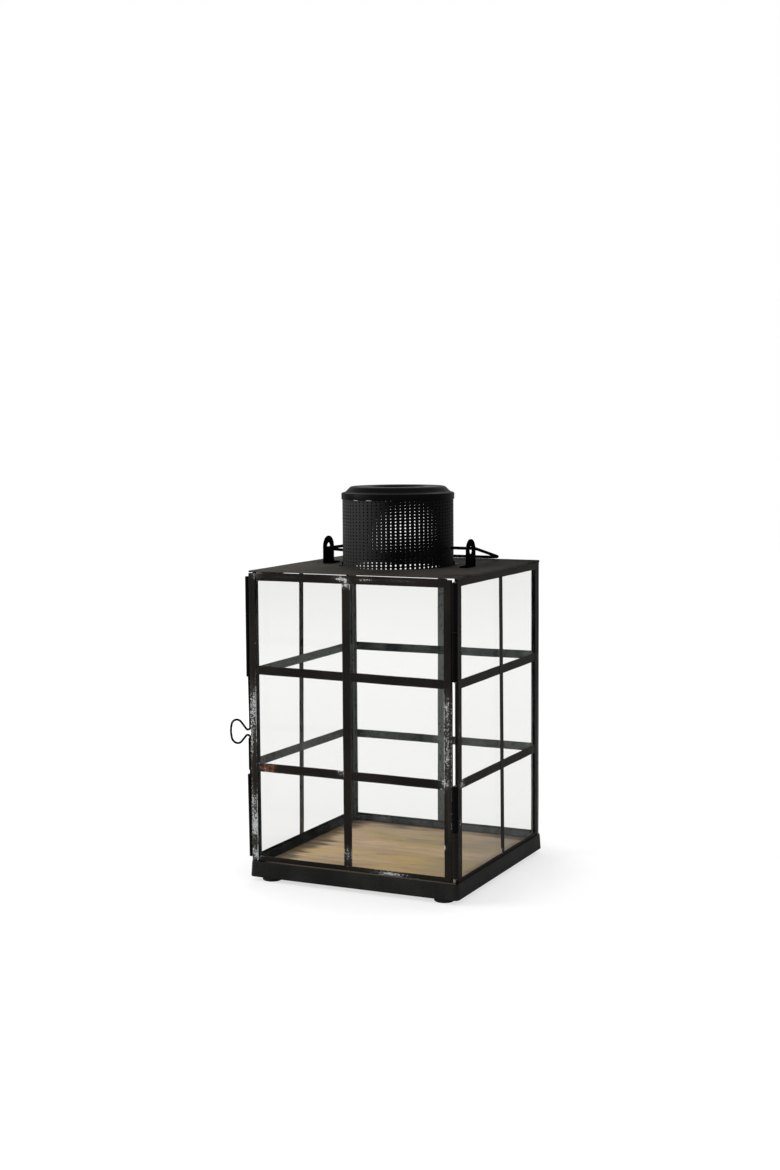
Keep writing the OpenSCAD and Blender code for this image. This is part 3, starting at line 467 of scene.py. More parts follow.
def flatSection(width, front):
    # closed section of a flat strip: across, deep, edge wear with painted edge highlight, and inner face
    s = stripMake
    lip, back = s["thinLip"], front + s["sheet"]
    face = np.linspace(width - lip, lip, 6)
    outer = [(a, front, 1 if i in (0, 5) else .05, 0) for i, a in enumerate(face)]
    inner = [(a, back, .3 if i in (0, 5) else 0, 1) for i, a in enumerate(face[::-1])]
    return np.array([(width, front + lip, .7, 0), *outer, (0, front + lip, .7, 0),
                     (0, back - lip, .3, 1), *inner, (width, back - lip, .3, 1)])


def strip(low, high, along, across, deep, section, lean=(0, 0), tone=(0.15, 0.15), seed=0):
    # the section carried along a straight run: corner + distance along + across and deep parts of the section,
    # moved across by a share of the lean at each end, with a slow waver, and tucked in a little at the ends
    s = stripMake
    low, high = np.array(low) / mm, np.array(high) / mm
    along, across, deep = (np.array(v, float) for v in (along, across, deep))
    corner = np.where(along + across + deep > 0, low, high)
    length = abs((high - low) @ along)
    least, most = section[:, :2].min(0), section[:, :2].max(0)
    middle, size = (most + least) / 2, most - least
    inset, first = s["endTuck"] * 0.6, s["firstStep"]
    run = np.concatenate([[0, inset], np.linspace(first, length - first, max(2, int(length / s["step"]))),
                          [length - inset, length]])
    tuck = np.ones(len(run))
    tuck[[0, -1]] = 0
    rng = np.random.default_rng(seed)
    phase, pace = rng.uniform(0, s["round"], 2), rng.uniform(*s["wavePace"], 2)
    wave = sum(share * np.sin(s["round"] * run / pace[i] + phase[i]) for i, share in enumerate(s["waves"]))
    wave = wave * s["waver"]
    squeeze = 1 - (1 - tuck)[:, None] * 2 * s["endTuck"] / size * (1, 0.25)
    shift = wave * tuck + lean[0] + (lean[1] - lean[0]) * run / length
    a, d = np.moveaxis((section[:, :2] - middle) * squeeze[:, None] + middle, -1, 0)
    a = a + shift[:, None]
    points = (corner + run[:, None, None] * along + a[..., None] * across + d[..., None] * deep) * mm
    flat = points.reshape(-1, 3)
    edge, inside = (np.broadcast_to(section[:, i][None], a.shape).ravel() for i in (2, 3))
    # inner faces: zinc lightness runs from tone's start to its end, painted light and shade
    light = np.broadcast_to((tone[0] + (tone[1] - tone[0]) * run / length)[:, None], a.shape).ravel()
    # on outer faces the edge wear also paints a highlight along the strips' edges
    bare = np.where(inside > 0.5, light + nearSpots(flat, solderSpots),
                    edge * s["edgeWear"] + nearSpots(flat, frontSpots + rightSpots))
    marks = np.stack([bare, nearSpots(flat, rustSpots), inside], -1)
    return skinOf(points, marks=marks)


frameSides = {side: dict(zip(("body", "rail", "deep", "first", "last"), row)) for side, row in {
    # body, run of the rails, way in, and which stile stands at each end
    "door": ("door", (1, 0, 0), (0, 1, 0), "latch_stile", "hinge_stile"),
    "left": ("case", (0, 1, 0), (1, 0, 0), "front_stile", "back_stile"),
    "right": ("case", (0, 1, 0), (-1, 0, 0), "front_stile", "back_stile"),
    "back": ("case", (1, 0, 0), (0, -1, 0), "left_stile", "right_stile")}.items()}
handLean = {  # how far each strip stands off its true line at the start and the end of its run
    "door_latch_stile": (-0.85, -0.85), "door_upper_bars": (1.1, -1.3), "door_lower_bars": (-0.8, -1.9),
    "left_upper_bars": (-1.3, -0.8), "left_lower_bars": (2.8, 1.0), "right_upper_bars": (-1.6, -0.9),
    "right_lower_bars": (-1.4, -1.4), "back_upper_bars": (-0.8, -0.4), "back_lower_bars": (-2.1, -2.1),
    "left_mullion": (-2.9, 1.9), "right_mullion": (1.9, -2.4), "back_mullion": (-1.1, 0),
    "door_head": (-0.7, -0.7)}
extraWidth = {"door_latch_stile": -0.6, "back_right_stile": 1.1, "right_mullion": 0.7, "door_head": 1.5,
    "right_front_stile": 1.0, "left_sill": 1.8, "right_head": 0.9}
up, down = (0, 0, 1), (0, 0, -1)


def placeStrip(node, way, along, across, section, seed):
    shape = strip(*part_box(node), along, across, way["deep"], section, handLean.get(node, (0, 0)),
                  innerPaintedLight.get(node, (0.12, 0.12)), seed)
    makePiece(f"{node}_strip", [shape], "frame_paint", way["body"], [node])


def spanOf(node, direction):
    low, high = boxOf(node)
    return abs((high - low) @ direction)


for order, (side, way) in enumerate(frameSides.items()):
    rail = np.array(way["rail"])
    runs = {way["first"]: (up, rail), way["last"]: (up, -rail), "head": (rail, down), "sill": (rail, up)}
    for number, (part, (along, across)) in enumerate(runs.items()):
        node = f"{side}_{part}"
        section = edgeSection(spanOf(node, across) + extraWidth.get(node, 0), spanOf(node, way["deep"]))
        placeStrip(node, way, along, across, section, 10 * order + number)
    node = f"{side}_mullion"
    placeStrip(node, way, up, rail, flatSection(spanOf(node, rail), 0), 10 * order + 5)
    for number, row in enumerate(("upper_bars", "lower_bars")):
        node = f"{side}_{row}"
        section = flatSection(spanOf(node, up), stripMake["barSink"])
        placeStrip(node, way, rail, up, section, 10 * order + 6 + number)
    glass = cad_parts[f"{side}_glass"]
    glass.data.materials.clear()
    glass.data.materials.append(finishes["glass"])
print("strips folded for", len(frameSides), "frames")


solderMake = {"width": 6.0, "height": 4.0, "proud": 0.35, "sink": 0.22, "shift": {"sill": -0.6, "head": 0.8},
    "rings": 7, "sides": 14, "size": (0.7, 1.25), "round": 6.28, "wobble": (0.1, 0.25), "tilt": (-60, 84)}


def solderBlob(centre, rail, deep, seed):
    # flattened dome: radius falls as the cosine of a rising angle, height as its sine, with an uneven outline
    s = solderMake
    rng = np.random.default_rng(seed)
    size, lean, wobble = rng.uniform(*s["size"], 2), rng.uniform(0, s["round"]), rng.uniform(*s["wobble"])
    rise = np.radians(np.linspace(*s["tilt"], s["rings"]))[:, None]
    turn = circle(s["sides"])[None]
    spread = np.cos(rise) * (1 + wobble * np.sin(2 * turn + lean) + 0.5 * wobble * np.sin(3 * turn))
    points = (centre + (spread * np.cos(turn) * size[0] * s["width"] / 2)[..., None] * rail
              + (spread * np.sin(turn) * size[1] * s["height"] / 2)[..., None] * up
              + (np.sin(rise) * s["proud"] * np.ones_like(turn))[..., None] * deep) * mm
    return skinOf(points)


for order, (side, way) in enumerate(frameSides.items()):
    # one dab on the inner face of each corner joint
    rail, deep = np.array(way["rail"], float), np.array(way["deep"], float)
    blobs = []
    for number, (end, row) in enumerate([(e, r) for e in (0, 1) for r in ("sill", "head")]):
        low, high = ends = boxOf(f"{side}_{row}")
        inner = np.where(deep > 0, high, low) - deep * solderMake["sink"]
        centre = np.where(rail != 0, ends[end], np.where(deep != 0, inner, (low + high) / 2))
        centre[2] += solderMake["shift"][row]
        blobs.append(solderBlob(centre, rail, deep, 40 * order + number))
    makePiece(f"{side}_solder", blobs, "solder_tin", way["body"])
lumpMake = {"low": (0.0840, -0.1, 0.2790), "high": (0.0926, -0.0966, 0.2804), "tall": 1.4, "sunk": 0.1}
headLump = strip(lumpMake["low"], lumpMake["high"], frameSides["door"]["rail"], up, frameSides["door"]["deep"],
                 flatSection(lumpMake["tall"], lumpMake["sunk"]))
makePiece("door_head_lump", [headLump], "frame_paint", "door")
print("joints soldered")


def outlineOf(halfX, front, back, radii, arcSteps=6, sideSteps=44):
    # rounded rectangle and its outward directions, counter-clockwise from the front right corner
    corners = [(halfX, front, -90), (halfX, back, 0), (-halfX, back, 90), (-halfX, front, 180)]
    base, facing = [], []
    for (x, y, begin), r in zip(corners, radii):
        turn = np.radians(begin + np.linspace(0, 90, arcSteps + 1))
        facing.append(ray(turn))
        base.append(np.array([x - math.copysign(r, x), y - math.copysign(r, y)]) + r * facing[-1])
    points, rays = [], []
    share = np.linspace(0, 1, sideSteps + 1)[1:-1, None]
    for i in range(4):
        here, there = base[i][-1], base[(i + 1) % 4][0]
        points += [base[i], here + share * (there - here)]
        rays += [facing[i], np.repeat(facing[i][-1:], sideSteps - 1, 0)]
    return np.concatenate(points), np.concatenate(rays)


def ringsOf(outline, rays, profile):
    # each ring is the outline moved outwards by one value and raised to another
    return np.stack([np.column_stack([outline + grow * rays, np.full(len(outline), height)])
                     for grow, height in profile]) * mm


def chipMarks(rings, chips, edge=slice(0), wear=0):
    # bare metal at the chips, and a little on the rings of an edge
    marks = np.zeros((*rings.shape[:2], 3))
    marks[..., 0] = nearSpots(rings.reshape(-1, 3), chips).reshape(rings.shape[:2])
    marks[edge, :, 0] += wear
    return marks


trayMake = {"half": 100.6, "radius": 3.0, "flare": 1.0, "wall": 1.0, "floor": 5.0, "bottom": 4.0, "top": 18.2,
    "wallRings": 8, "rimRings": slice(11, 14), "rimWear": 0.16,
    "chips": [(-19.6, -102.4, 8.6, 0.9, 2, 0.9, 0.9), (101, -98, 16, 2, 6, 2, 0.3),
              (60, -102, 17.6, 24, 2, 1.2, 0.28), (-96, -102, 17.4, 6, 3, 1.6, 0.40)]}


def trayRings():
    t = trayMake
    outline, rays = outlineOf(t["half"], -t["half"], t["half"], [t["radius"]] * 4)
    out, tall = t["wall"] + t["flare"], t["top"] - t["bottom"]
    wallHeights = np.linspace(0.6, tall - 0.5, t["wallRings"])
    profile = [(out - 1.0, t["bottom"]), (out - 0.35, t["bottom"] + 0.08), (out - 0.08, t["bottom"] + 0.28)]
    profile += [(out - t["flare"] * h / tall, t["bottom"] + h) for h in wallHeights]
    profile += [(t["wall"] - 0.12, t["top"] - 0.14), (t["wall"] - 0.42, t["top"]),
                (t["wall"] - 0.72, t["top"] - 0.12), (0.02, t["top"] - 0.5), (0.5, t["top"] - 7),
                (0.95, t["floor"] + 0.3), (0.6, t["floor"])]
    rings = ringsOf(outline, rays, profile)
    return skinOf(rings, marks=chipMarks(rings, t["chips"], t["rimRings"], t["rimWear"]))


makePiece("tray_skin", [trayRings()], "tray_paint", "case", ["base_tray"])

boardMake = {"round": 0.9, "corner": 1.2}


def boardRings():
    low, high = boxOf("candle_board")
    r = boardMake["round"]
    outline, rays = outlineOf(high[0], low[1], high[1], [boardMake["corner"]] * 4)
    bend = np.radians(np.linspace(0, 90, 5))
    profile = [(-r + r * math.sin(a), low[2] + r - r * math.cos(a)) for a in bend]
    profile += [(-r + r * math.cos(a), high[2] - r + r * math.sin(a)) for a in bend]
    return skinOf(ringsOf(outline, rays, profile))


makePiece("board_plank", [boardRings()], "board_wood", "case", ["candle_board"])

roofMake = {"half": 101.0, "front": -100.4, "back": 101.0, "radii": [4.5, 3.6, 3.6, 2.0], "vent": 49.3,
    "under": 280.6, "top": 281.5, "hem": 1.2, "hemWall": 0.8, "dip": 0.12,
    "edgeRings": slice(15, 19), "edgeWear": 0.06,
    "chips": [(-92, -100, 281.3, 8, 4, 1.5, 0.22), (60, -100.4, 281, 22, 1.5, 1, 0.3)]}


def roofRings():
    # outwards over the top from the vent's circle to the outline, round the hem, and back along the underside
    m = roofMake
    outline, rays = outlineOf(m["half"], m["front"], m["back"], m["radii"])
    angle = np.arctan2(outline[:, 1], outline[:, 0])
    vent = m["vent"] * ray(angle)
    drop = 0.04 + m["hem"] * np.clip((outline[:, 1] - m["front"] - 0.8) / 1.5, 0, 1)
    dents = 1 + np.sin(5 * angle + 1.3) * 0.5 + np.sin(9 * angle) * 0.3
    low, foot, wall = m["top"] - m["dip"] * dents, m["under"] - drop, m["hemWall"]
    # each ring lies a share of the way from the vent to the grown outline, at its own height
    rows = [(0, 0, m["under"] + 0.15), (0, 0, m["top"] - 0.15), (0.004, 0, m["top"])]
    rows += [(share, 0, m["top"] - m["dip"] * share ** 2 * dents * (share > 0.45))
             for share in np.linspace(0.08, 0.985, 12)]
    rows += [(1, -0.22, low), (1, -0.05, low - 0.10), (1, 0, low - 0.28), (1, 0, foot + 0.15), (1, -0.15, foot),
             (1, 0.1 - wall, foot), (1, -wall, foot + 0.1), (1, -wall - 0.02, m["under"]), (0.02, 0, m["under"])]
    full = np.ones(len(outline))
    rings = np.stack([np.column_stack([vent + share * (outline + grow * rays - vent), full * height])
                      for share, grow, height in rows]) * mm
    return skinOf(rings, closeRows=True, marks=chipMarks(rings, m["chips"], m["edgeRings"], m["edgeWear"]))


makePiece("roof_skin", [roofRings()], "roof_paint", "case", ["roof_plate"])
print("tray, board and roof done")


chimneyMake = {"outer": 50.8, "inner": 50.0, "bottom": 281.5, "top": 347.5, "columns": 72, "rows": 21,
    "pitch": 2.99, "lowest": 282.11, "hole": 0.82, "facing": -64.72, "squeeze": 0.5,
    "columnAt": [(-12.942, -62), (12.0, 62), (23.465, 118), (47.58, 242)], "seen": 62,
    "frontDrift": (0, -0.39, 1.36), "backDrift": (-0.21, 3.27, -1.91)}


def sheetRun(column):
    # the hand-rolled sheet is a little uneven: angle of each column from the tube's front
    at, angle = zip(*chimneyMake["columnAt"])
    count = chimneyMake["columns"]
    turns = np.floor((column - at[0]) / count)
    return np.interp(column - turns * count, [*at, at[0] + count], [*angle, angle[0] + 360]) + 360 * turns


def sheetDrift(angle):
    # and its rows wander: lift + bow (1 - cos t) + slope t on the front and on the back, straight in between
    t = np.radians(np.linspace(-chimneyMake["seen"], chimneyMake["seen"], 17))
    front, back = (lift + bow * (1 - np.cos(t)) + slope * t
                   for lift, bow, slope in (chimneyMake["frontDrift"], chimneyMake["backDrift"]))
    return np.interp(angle, np.degrees(np.concatenate([t, t + np.pi])), np.concatenate([front, back]), period=360)


def perforatedTube():
    # every hole is a ring of twelve points inside its own cell of the sheet; the sheet is then rolled:
    # columns become angles, on the outer and on the inner radius
    c = chimneyMake
    cell = np.array([(1, -1 / 3), (1, 1 / 3), (1, 1), (1 / 3, 1), (-1 / 3, 1), (-1, 1),
                     (-1, 1 / 3), (-1, -1 / 3), (-1, -1), (-1 / 3, -1), (1 / 3, -1), (1, -1)]) / 2
    turn = np.radians(np.arange(12) * 30 - 15)
    wide = 2 * np.pi * c["outer"] / c["columns"]
    hole = ray(turn) / (wide, c["pitch"]) * c["hole"]
    column, row = np.meshgrid(np.arange(c["columns"]), np.arange(c["rows"]), indexing="ij")
    middle = np.stack([column, row], -1).reshape(-1, 1, 2)
    sheet = np.concatenate([middle + cell, middle + hole], 1)          # 24 points a cell
    ring = np.arange(12)
    after = np.roll(ring, -1)
    face = np.stack([ring, after, after + 12, ring + 12], -1)
    bore = np.stack([ring + 12, after + 12, after + 36, ring + 36], -1)
    patch = np.concatenate([face, face[:, ::-1] + 24, bore])
    cells = len(middle)
    both = np.concatenate([sheet, sheet], 1)
    radius = np.repeat([c["outer"], c["inner"]], 24)[None] * np.ones((cells, 1))
    quads = (patch[None] + 48 * np.arange(cells)[:, None, None]).reshape(-1, 4)
    # plain collar above the holes, and the two cut edges, on the same three points a column
    lines = 3 * c["columns"]
    around = np.arange(lines) / 3 - 0.5
    topRow = c["rows"] - 0.5
    rims = [(c["outer"], topRow), (c["outer"], 99), (c["inner"], 99), (c["inner"], topRow),
            (c["inner"], -0.5), (c["outer"], -0.5)]
    base = 48 * cells
    extra = np.concatenate([gridFaces(4, lines, False, True) + base,
                            gridFaces(2, lines, False, True) + base + 4 * lines])
    flatX = np.concatenate([both[..., 0].ravel()] + [around] * 6)
    flatZ = np.concatenate([both[..., 1].ravel()] + [np.full(lines, z) for _, z in rims])
    flatR = np.concatenate([radius.ravel()] + [np.full(lines, r) for r, _ in rims])
    angle = sheetRun(flatX)
    # rows near the foot are squeezed so that none passes it: (t + sqrt(t t + e e)) / 2 over the foot
    over = c["lowest"] + flatZ * c["pitch"] + sheetDrift(angle) - c["bottom"]
    height = c["bottom"] + (over + np.sqrt(over ** 2 + c["squeeze"] ** 2)) / 2
    height = np.where(flatZ == -0.5, c["bottom"], np.where(flatZ > 90, c["top"], height))
    angle = np.radians(angle + c["facing"])
    points = np.stack([flatR * np.cos(angle), flatR * np.sin(angle), height], -1)
    # neighbours share their rim points: equal places are merged into one
    welded, where = np.unique(np.round(points, 4), axis=0, return_inverse=True)
    quads = where.reshape(-1)[np.concatenate([quads, extra])]
    return welded * mm, quads, np.zeros((0, 3), int), np.zeros(welded.shape)


tube = perforatedTube()
makePiece("chimney_mesh", [tube], "mesh_paint", "case", ["chimney_tube"])

capMake = {"sides": 160,
    "wear": [(-19.0, -48.0, 342.5, 4, 4, 0.5, 0.9), (-4.6, -51.4, 342.5, 4, 4, 0.5, 0.9)],
    "profile": [(51.60, 342.4), (51.65, 343.0), (51.65, 347.3), (51.55, 347.75), (51.25, 348.1), (50.7, 348.35),
                (49.2, 348.75), (48.1, 349.15), (47.3, 349.75), (45.6, 351.5), (44.1, 352.95), (43.2, 353.65),
                (42.0, 353.97), (40.5, 354.0), (26.6, 354.0), (25.7, 353.85), (25.15, 353.4), (25.0, 352.9),
                (25.0, 352.0), (25.8, 352.0), (25.85, 353.0), (26.4, 353.2), (41.2, 353.2), (42.6, 352.95),
                (44.9, 350.9), (46.9, 348.9), (48.2, 348.2), (50.1, 347.6), (50.85, 347.4), (50.85, 342.4)]}


def capRings():
    # each profile point (radius, height) is carried round the axis: x = r cos t, y = r sin t
    turn = circle(capMake["sides"])
    r, z = (values[:, None] for values in np.array(capMake["profile"]).T)
    rings = np.stack([r * np.cos(turn), r * np.sin(turn), z * np.ones(len(turn))], -1) * mm
    return skinOf(rings, closeRows=True, marks=chipMarks(rings, capMake["wear"]))


makePiece("chimney_cap_shell", [capRings()], "chimney_paint", "case", ["chimney_cap"])
print("chimney done:", len(tube[1]), "quads in the mesh")


def bentPath(corners, radii, step=1.2):
    # straight runs between corners, each corner cut by an arc of its radius that touches both runs
    corners = [np.array(c, float) for c in corners]
    path = [corners[0][None]]
    for i in range(1, len(corners) - 1):
        here = corners[i]
        into, out = unit(here - corners[i - 1]), unit(corners[i + 1] - here)
        bend = math.acos(np.clip(into @ out, -1, 1))
        start = here - into * radii[i] * math.tan(bend / 2)
        centre = start + radii[i] * unit(out - (out @ into) * into)
        steps = np.linspace(0, bend, max(4, int(bend * radii[i] / step) + 6))[:, None]
        path.append(centre + radii[i] * (np.cos(steps) * (start - centre) / radii[i] + np.sin(steps) * into))
    path.append(corners[-1][None])
    return evenPath(np.concatenate(path), step)


def evenPath(path, step):
    # the same line with a point at least every fourth step
    gap = np.linalg.norm(np.diff(path, axis=0), axis=1)
    reach = np.concatenate([[0], np.cumsum(gap)])
    stops = np.unique(np.concatenate([reach, np.arange(0, reach[-1], step * 4)]))
    stops = stops[np.concatenate([[True], np.diff(stops) > 1e-3])]
    return np.stack([np.interp(stops, reach, path[:, i]) for i in range(path.shape[1])], -1)


def wireOn(path, flatNormal, radius, sides=18):
    # circle carried along a line that lies in one plane, its ends rounded off by smaller circles
    ahead = unit(np.gradient(path, axis=0))
    side = unit(np.cross(ahead, flatNormal))
    ends = np.array([[0.0, 0.45], [0.12, 0.80], [0.40, 1.0]])      # way in from the end and radius, as shares
    head = path[0] + ends[:, :1] * radius * ahead[0]
    tail = path[-1] - ends[::-1, :1] * radius * ahead[-1]
    line = np.concatenate([head, path[1:-1], tail])
    sideways = np.concatenate([np.repeat(side[:1], 3, 0), side[1:-1], np.repeat(side[-1:], 3, 0)])
    thick = radius * np.concatenate([ends[:, 1], np.ones(len(path) - 2), ends[::-1, 1]])
    turn = circle(sides)
    points = (line[:, None] + thick[:, None, None] * (np.cos(turn)[None, :, None] * sideways[:, None]
              + np.sin(turn)[None, :, None] * np.array(flatNormal, float)))
    return skinOf(points * mm)


bailMake = {"radius": 1.4, "pivot": 297.0, "inner": 52.4, "arm": 76.5, "far": 61.5, "barY": 96.4, "drop": 13.8,
    "pivotBend": 3.0, "cornerBend": 14.0, "leftSag": -1.9, "leftTip": 1.3, "rightRise": 1.6}


def bailWire():
    # lies in the plane of its arms, apart from its ends, which sit low or high in the loose holes of the ears
    b = bailMake
    end = np.array([0, b["barY"], -b["drop"]])
    across = lambda x, share, lift=0: np.array([x, 0, b["pivot"] + lift]) + share * end
    corners = [across(-b["inner"], 0, b["leftTip"]), across(-b["arm"], 0, b["leftSag"]), across(-b["far"], 1),
               across(b["far"], 1), across(b["arm"], 0, b["rightRise"]), across(b["inner"], 0, b["rightRise"])]
    path = bentPath(corners, [0, b["pivotBend"], b["cornerBend"], b["cornerBend"], b["pivotBend"], 0])
    return wireOn(path, np.cross([1, 0, 0], unit(end)), b["radius"], 22)


makePiece("bail_wire", [bailWire()], "black_wire", "handle", ["bail_handle"])

latchMake = {"radius": 0.96, "x": -102.0, "lean": -0.016, "y": -98.3, "middle": 135.0, "top": 218.8,
    "bottom": 94.0, "neckBend": 2.4, "neckGap": 2.9, "reach": 20.1, "halfHeight": 10.7, "endBend": 6.0,
    "sideBend": 23.0}


def arcPoints(centre, radius, begin, end):
    turn = np.radians(np.linspace(begin, end, max(5, int(abs(end - begin) / 7))))
    return centre + radius * ray(turn)


def latchLine():
    # half of the line: down the long leg, round the neck, out to the loop and round its end; then mirrored
    k = latchMake
    neckHeight = k["neckBend"] + k["neckGap"] / 2 + k["radius"]
    lean = math.degrees(math.asin((k["halfHeight"] - k["endBend"]) / (k["sideBend"] - k["endBend"])))
    sideCentre = np.array([k["sideBend"] - k["reach"], 0])
    endCentre = sideCentre + (k["sideBend"] - k["endBend"]) * np.array([-math.cos(math.radians(lean)),
                                                                         math.sin(math.radians(lean))])
    neckCentre = np.array([-k["neckBend"], neckHeight])
    apart = endCentre - neckCentre
    climb = math.degrees(math.atan2(apart[1], apart[0])
                         - math.asin((k["neckBend"] + k["endBend"]) / np.linalg.norm(apart))) % 360
    upper = np.concatenate([arcPoints(neckCentre, k["neckBend"], 0, climb - 270),
                            arcPoints(endCentre, k["endBend"], climb - 90, 180 - lean)])
    outer = arcPoints(sideCentre, k["sideBend"], 180 - lean, 180 + lean)[1:-1]
    lower = upper[::-1] * (1, -1)
    flat = np.concatenate([[[0, k["top"] - k["middle"]]], upper, outer, lower, [[0, k["bottom"] - k["middle"]]]])
    flat = evenPath(flat, 1.0)
    across = flat[:, 0] + k["lean"] * np.clip(flat[:, 1] - 16, 0, 60)
    return np.stack([k["x"] + across, np.full(len(flat), k["y"]), k["middle"] + flat[:, 1]], -1)


makePiece("latch_drop_wire", [wireOn(latchLine(), (0, 1, 0), latchMake["radius"])], "black_wire", "latch",
          ["latch_wire"])
print("wires bent")


softMake = {"crease": 40, "sharp": 50, "segments": 2}
guideLean = {"latch_guide_upper": (-0.8, -0.7), "latch_guide_lower": (-0.1, -0.9)}


def softened(node, finish, body, width):
    # a merged copy of the node, its flat faces joined, with a narrow bevel on its sharp edges,
    # leaning across by one amount at its foot and another at its top
    source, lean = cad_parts[node], guideLean.get(node, (0, 0))
    mesh = bpy.data.meshes.new(f"{node}_part")
    points = np.empty(len(source.data.vertices) * 3, np.float32)
    source.data.vertices.foreach_get("co", points)
    corners = np.empty(len(source.data.loops), np.int32)
    source.data.loops.foreach_get("vertex_index", corners)
    welded, where = np.unique(np.round(points.reshape(-1, 3), 7), axis=0, return_inverse=True)
    low, high = welded[:, 2].min(), welded[:, 2].max()
    welded[:, 0] += (lean[0] + (lean[1] - lean[0]) * (welded[:, 2] - low) / (high - low)) * mm
    faces = where.reshape(-1)[corners].reshape(-1, 3)
    real = (faces[:, 0] != faces[:, 1]) & (faces[:, 1] != faces[:, 2]) & (faces[:, 2] != faces[:, 0])
    mesh.from_pydata(welded.tolist(), [], faces[real].tolist())
    mesh.validate()
    marks = np.zeros((len(mesh.vertices), 3))
    piece = dress(f"{node}_part", mesh, marks, softMake["crease"], finish, body, [node])
    if width:
        soft = piece.modifiers.new("soft edges", "BEVEL")
        soft.width, soft.segments, soft.limit_method = width * mm, softMake["segments"], "ANGLE"
        soft.angle_limit, soft.use_clamp_overlap = math.radians(softMake["sharp"]), True


smallParts = [  # finish, body, slot, bevel in millimetres and nodes
    ("foot_rubber", "case", "foot_rubber", 0, ["feet"]),
    ("ear_black", "case", "frame_paint", 0.3, ["ear_left", "ear_right"]),
    ("ear_black", "case", "frame_paint", 0, ["ear_rivets"]),
    ("chimney_paint", "case", "chimney_paint", 0.2, ["chimney_tabs"]),
    ("chimney_paint", "case", "frame_paint", 0.25, ["case_tube_upper", "case_tube_lower"]),
    ("chimney_paint", "door", "frame_paint", 0.25, ["door_tube_upper"]),
    ("frame_paint", "door", "frame_paint", 0.25, ["door_tube_lower"]),
    ("pin_steel", "case", "pin_steel", 0.2, ["hinge_pin_upper", "hinge_pin_lower"]),
    ("chimney_paint", "door", "frame_paint", 0.2, ["latch_guide_upper", "latch_guide_lower"]),
    ("chimney_paint", "case", "frame_paint", 0.15, ["latch_clip"])]
for finish, body, slotName, width, nodes in smallParts:
    for node in nodes:
        softened(node, finish, body, width)
print("small parts softened in", len(smallParts), "groups")


def floorDisc(radius, rings=6, sides=96):
    # flat disc: rings of points at growing distance from the middle
    reach = radius * np.linspace(0.02, 1, rings)[:, None] ** 1.5
    turn = circle(sides)
    points = np.stack([reach * np.cos(turn), reach * np.sin(turn), np.zeros((rings, sides))], -1)
    mesh = bpy.data.meshes.new("floor")
    quads = gridFaces(rings, sides, False, True)[:, ::-1]
    centre = [list(range(sides))]
    mesh.from_pydata(points.reshape(-1, 3).tolist(), [], quads.tolist() + centre)
    return stand("floor", mesh)


def placed(right, upward, back, spot):
    # placing matrix from three directions and a place
    matrix = np.eye(4)
    matrix[:3] = np.column_stack([right, upward, back, spot])
    return Matrix(matrix.tolist())


studio = {"ambient": 0.60, "floorGlow": 1.29, "nearGlow": 1.42, "farGlow": 1.52, "floorColour": 0.80,
    "floorRadius": 6, "nearEdge": (0.135, 0.185), "farEdge": (0.5, 1.5), "aim": (0, 0, 0.15),
    "lamps": {"keyLeft": ((-1.9, -1.1, 1.0), 1.2, 34.0), "fillRight": ((1.8, -1.2, 1.1), 1.4, 3.0),
              "top": ((-0.5, 1.4, 1.9), 1.5, 8.0)}}


def seenDirectly(look):
    # 1 for camera and glass rays, 0 for the rays that light the object
    seen, passed = look.node("LightPath", None, None, ("Is Camera Ray", "Is Transmission Ray"))
    return seen.most(passed)


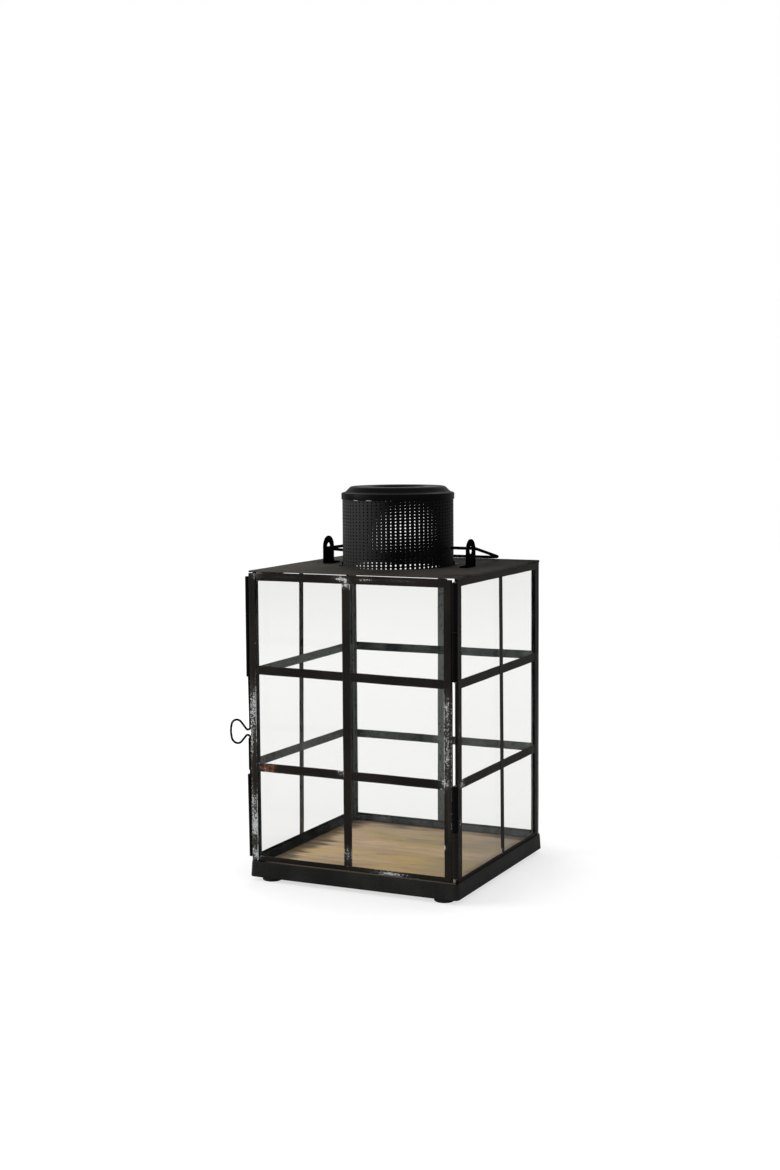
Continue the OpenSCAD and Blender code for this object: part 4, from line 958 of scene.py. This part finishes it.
def makeFloor():
    floor = floorDisc(studio["floorRadius"])
    look = Recipe("paleFloor")
    paper = look.noise(60, 2, 0.5)
    tone = studio["floorColour"]
    plain = look.node("BsdfDiffuse", None, {
        "Color": look.tint(look.rise(paper, 0.3, 0.7), (tone - 0.01,) * 3, (tone,) * 3)})
    under, near, far = (look.node("Emission", None, {"Color": (1, 1, 1, 1), "Strength": studio[key]})
                        for key in ("floorGlow", "nearGlow", "farGlow"))
    away = look.node("VectorMath", {"operation": "LENGTH"}, {0: look.place()}, "Value")
    glow = look.layer(look.rise(away, *studio["nearEdge"]), under, near)
    glow = look.layer(look.rise(away, *studio["farEdge"]), glow, far)
    look.node("OutputMaterial", None, {"Surface": look.layer(seenDirectly(look) * 0.5, plain, glow)})
    floor.data.materials.append(look.material)


def makeLight():
    world = bpy.data.worlds.new("studio")
    bpy.context.scene.world = world
    world.use_nodes = True
    look = Recipe("studio", world.node_tree)
    soft = look.node("Background", None, {"Color": (1, 1, 1, 1), "Strength": studio["ambient"]})
    white = look.node("Background", None, {"Color": (1, 1, 1, 1), "Strength": 1.0})
    look.node("OutputWorld", None, {"Surface": look.layer(seenDirectly(look), soft, white)})
    for name, (spot, size, power) in studio["lamps"].items():
        lamp = bpy.data.lights.new(name, "AREA")
        lamp.size, lamp.energy = size, power
        away = unit(np.array(spot) - studio["aim"])
        side = unit(np.cross(up, away))
        stand(name, lamp).matrix_world = placed(side, np.cross(away, side), away, spot)


cameraMake = {"spot": (0.66910, -1.41681, 0.41139), "yaw": -25.56234, "pitch": 5.40623, "roll": 0.39897,
    "lens": 52.707, "sensor": 36, "clip": (0.05, 50)}


def makeCamera():
    # forward from yaw and pitch, then rolled about the line of sight
    m = cameraMake
    yaw, pitch, roll = (math.radians(m[key]) for key in ("yaw", "pitch", "roll"))
    ahead = np.array([math.sin(yaw) * math.cos(pitch), math.cos(yaw) * math.cos(pitch), -math.sin(pitch)])
    right = np.array([math.cos(yaw), -math.sin(yaw), 0])
    below = np.cross(ahead, right)
    lens = bpy.data.cameras.new("studioCamera")
    lens.lens, lens.sensor_width, lens.sensor_fit = m["lens"], m["sensor"], "AUTO"
    lens.clip_start, lens.clip_end = m["clip"]
    camera = stand("studioCamera", lens)
    camera.matrix_world = placed(math.cos(roll) * right + math.sin(roll) * below,
                                 math.sin(roll) * right - math.cos(roll) * below, -ahead, m["spot"])
    bpy.context.scene.camera = camera


makeFloor()
makeLight()
makeCamera()
bpy.context.scene.view_settings.view_transform = "Standard"
print("floor, light and camera set")

bpy.context.view_layer.update()
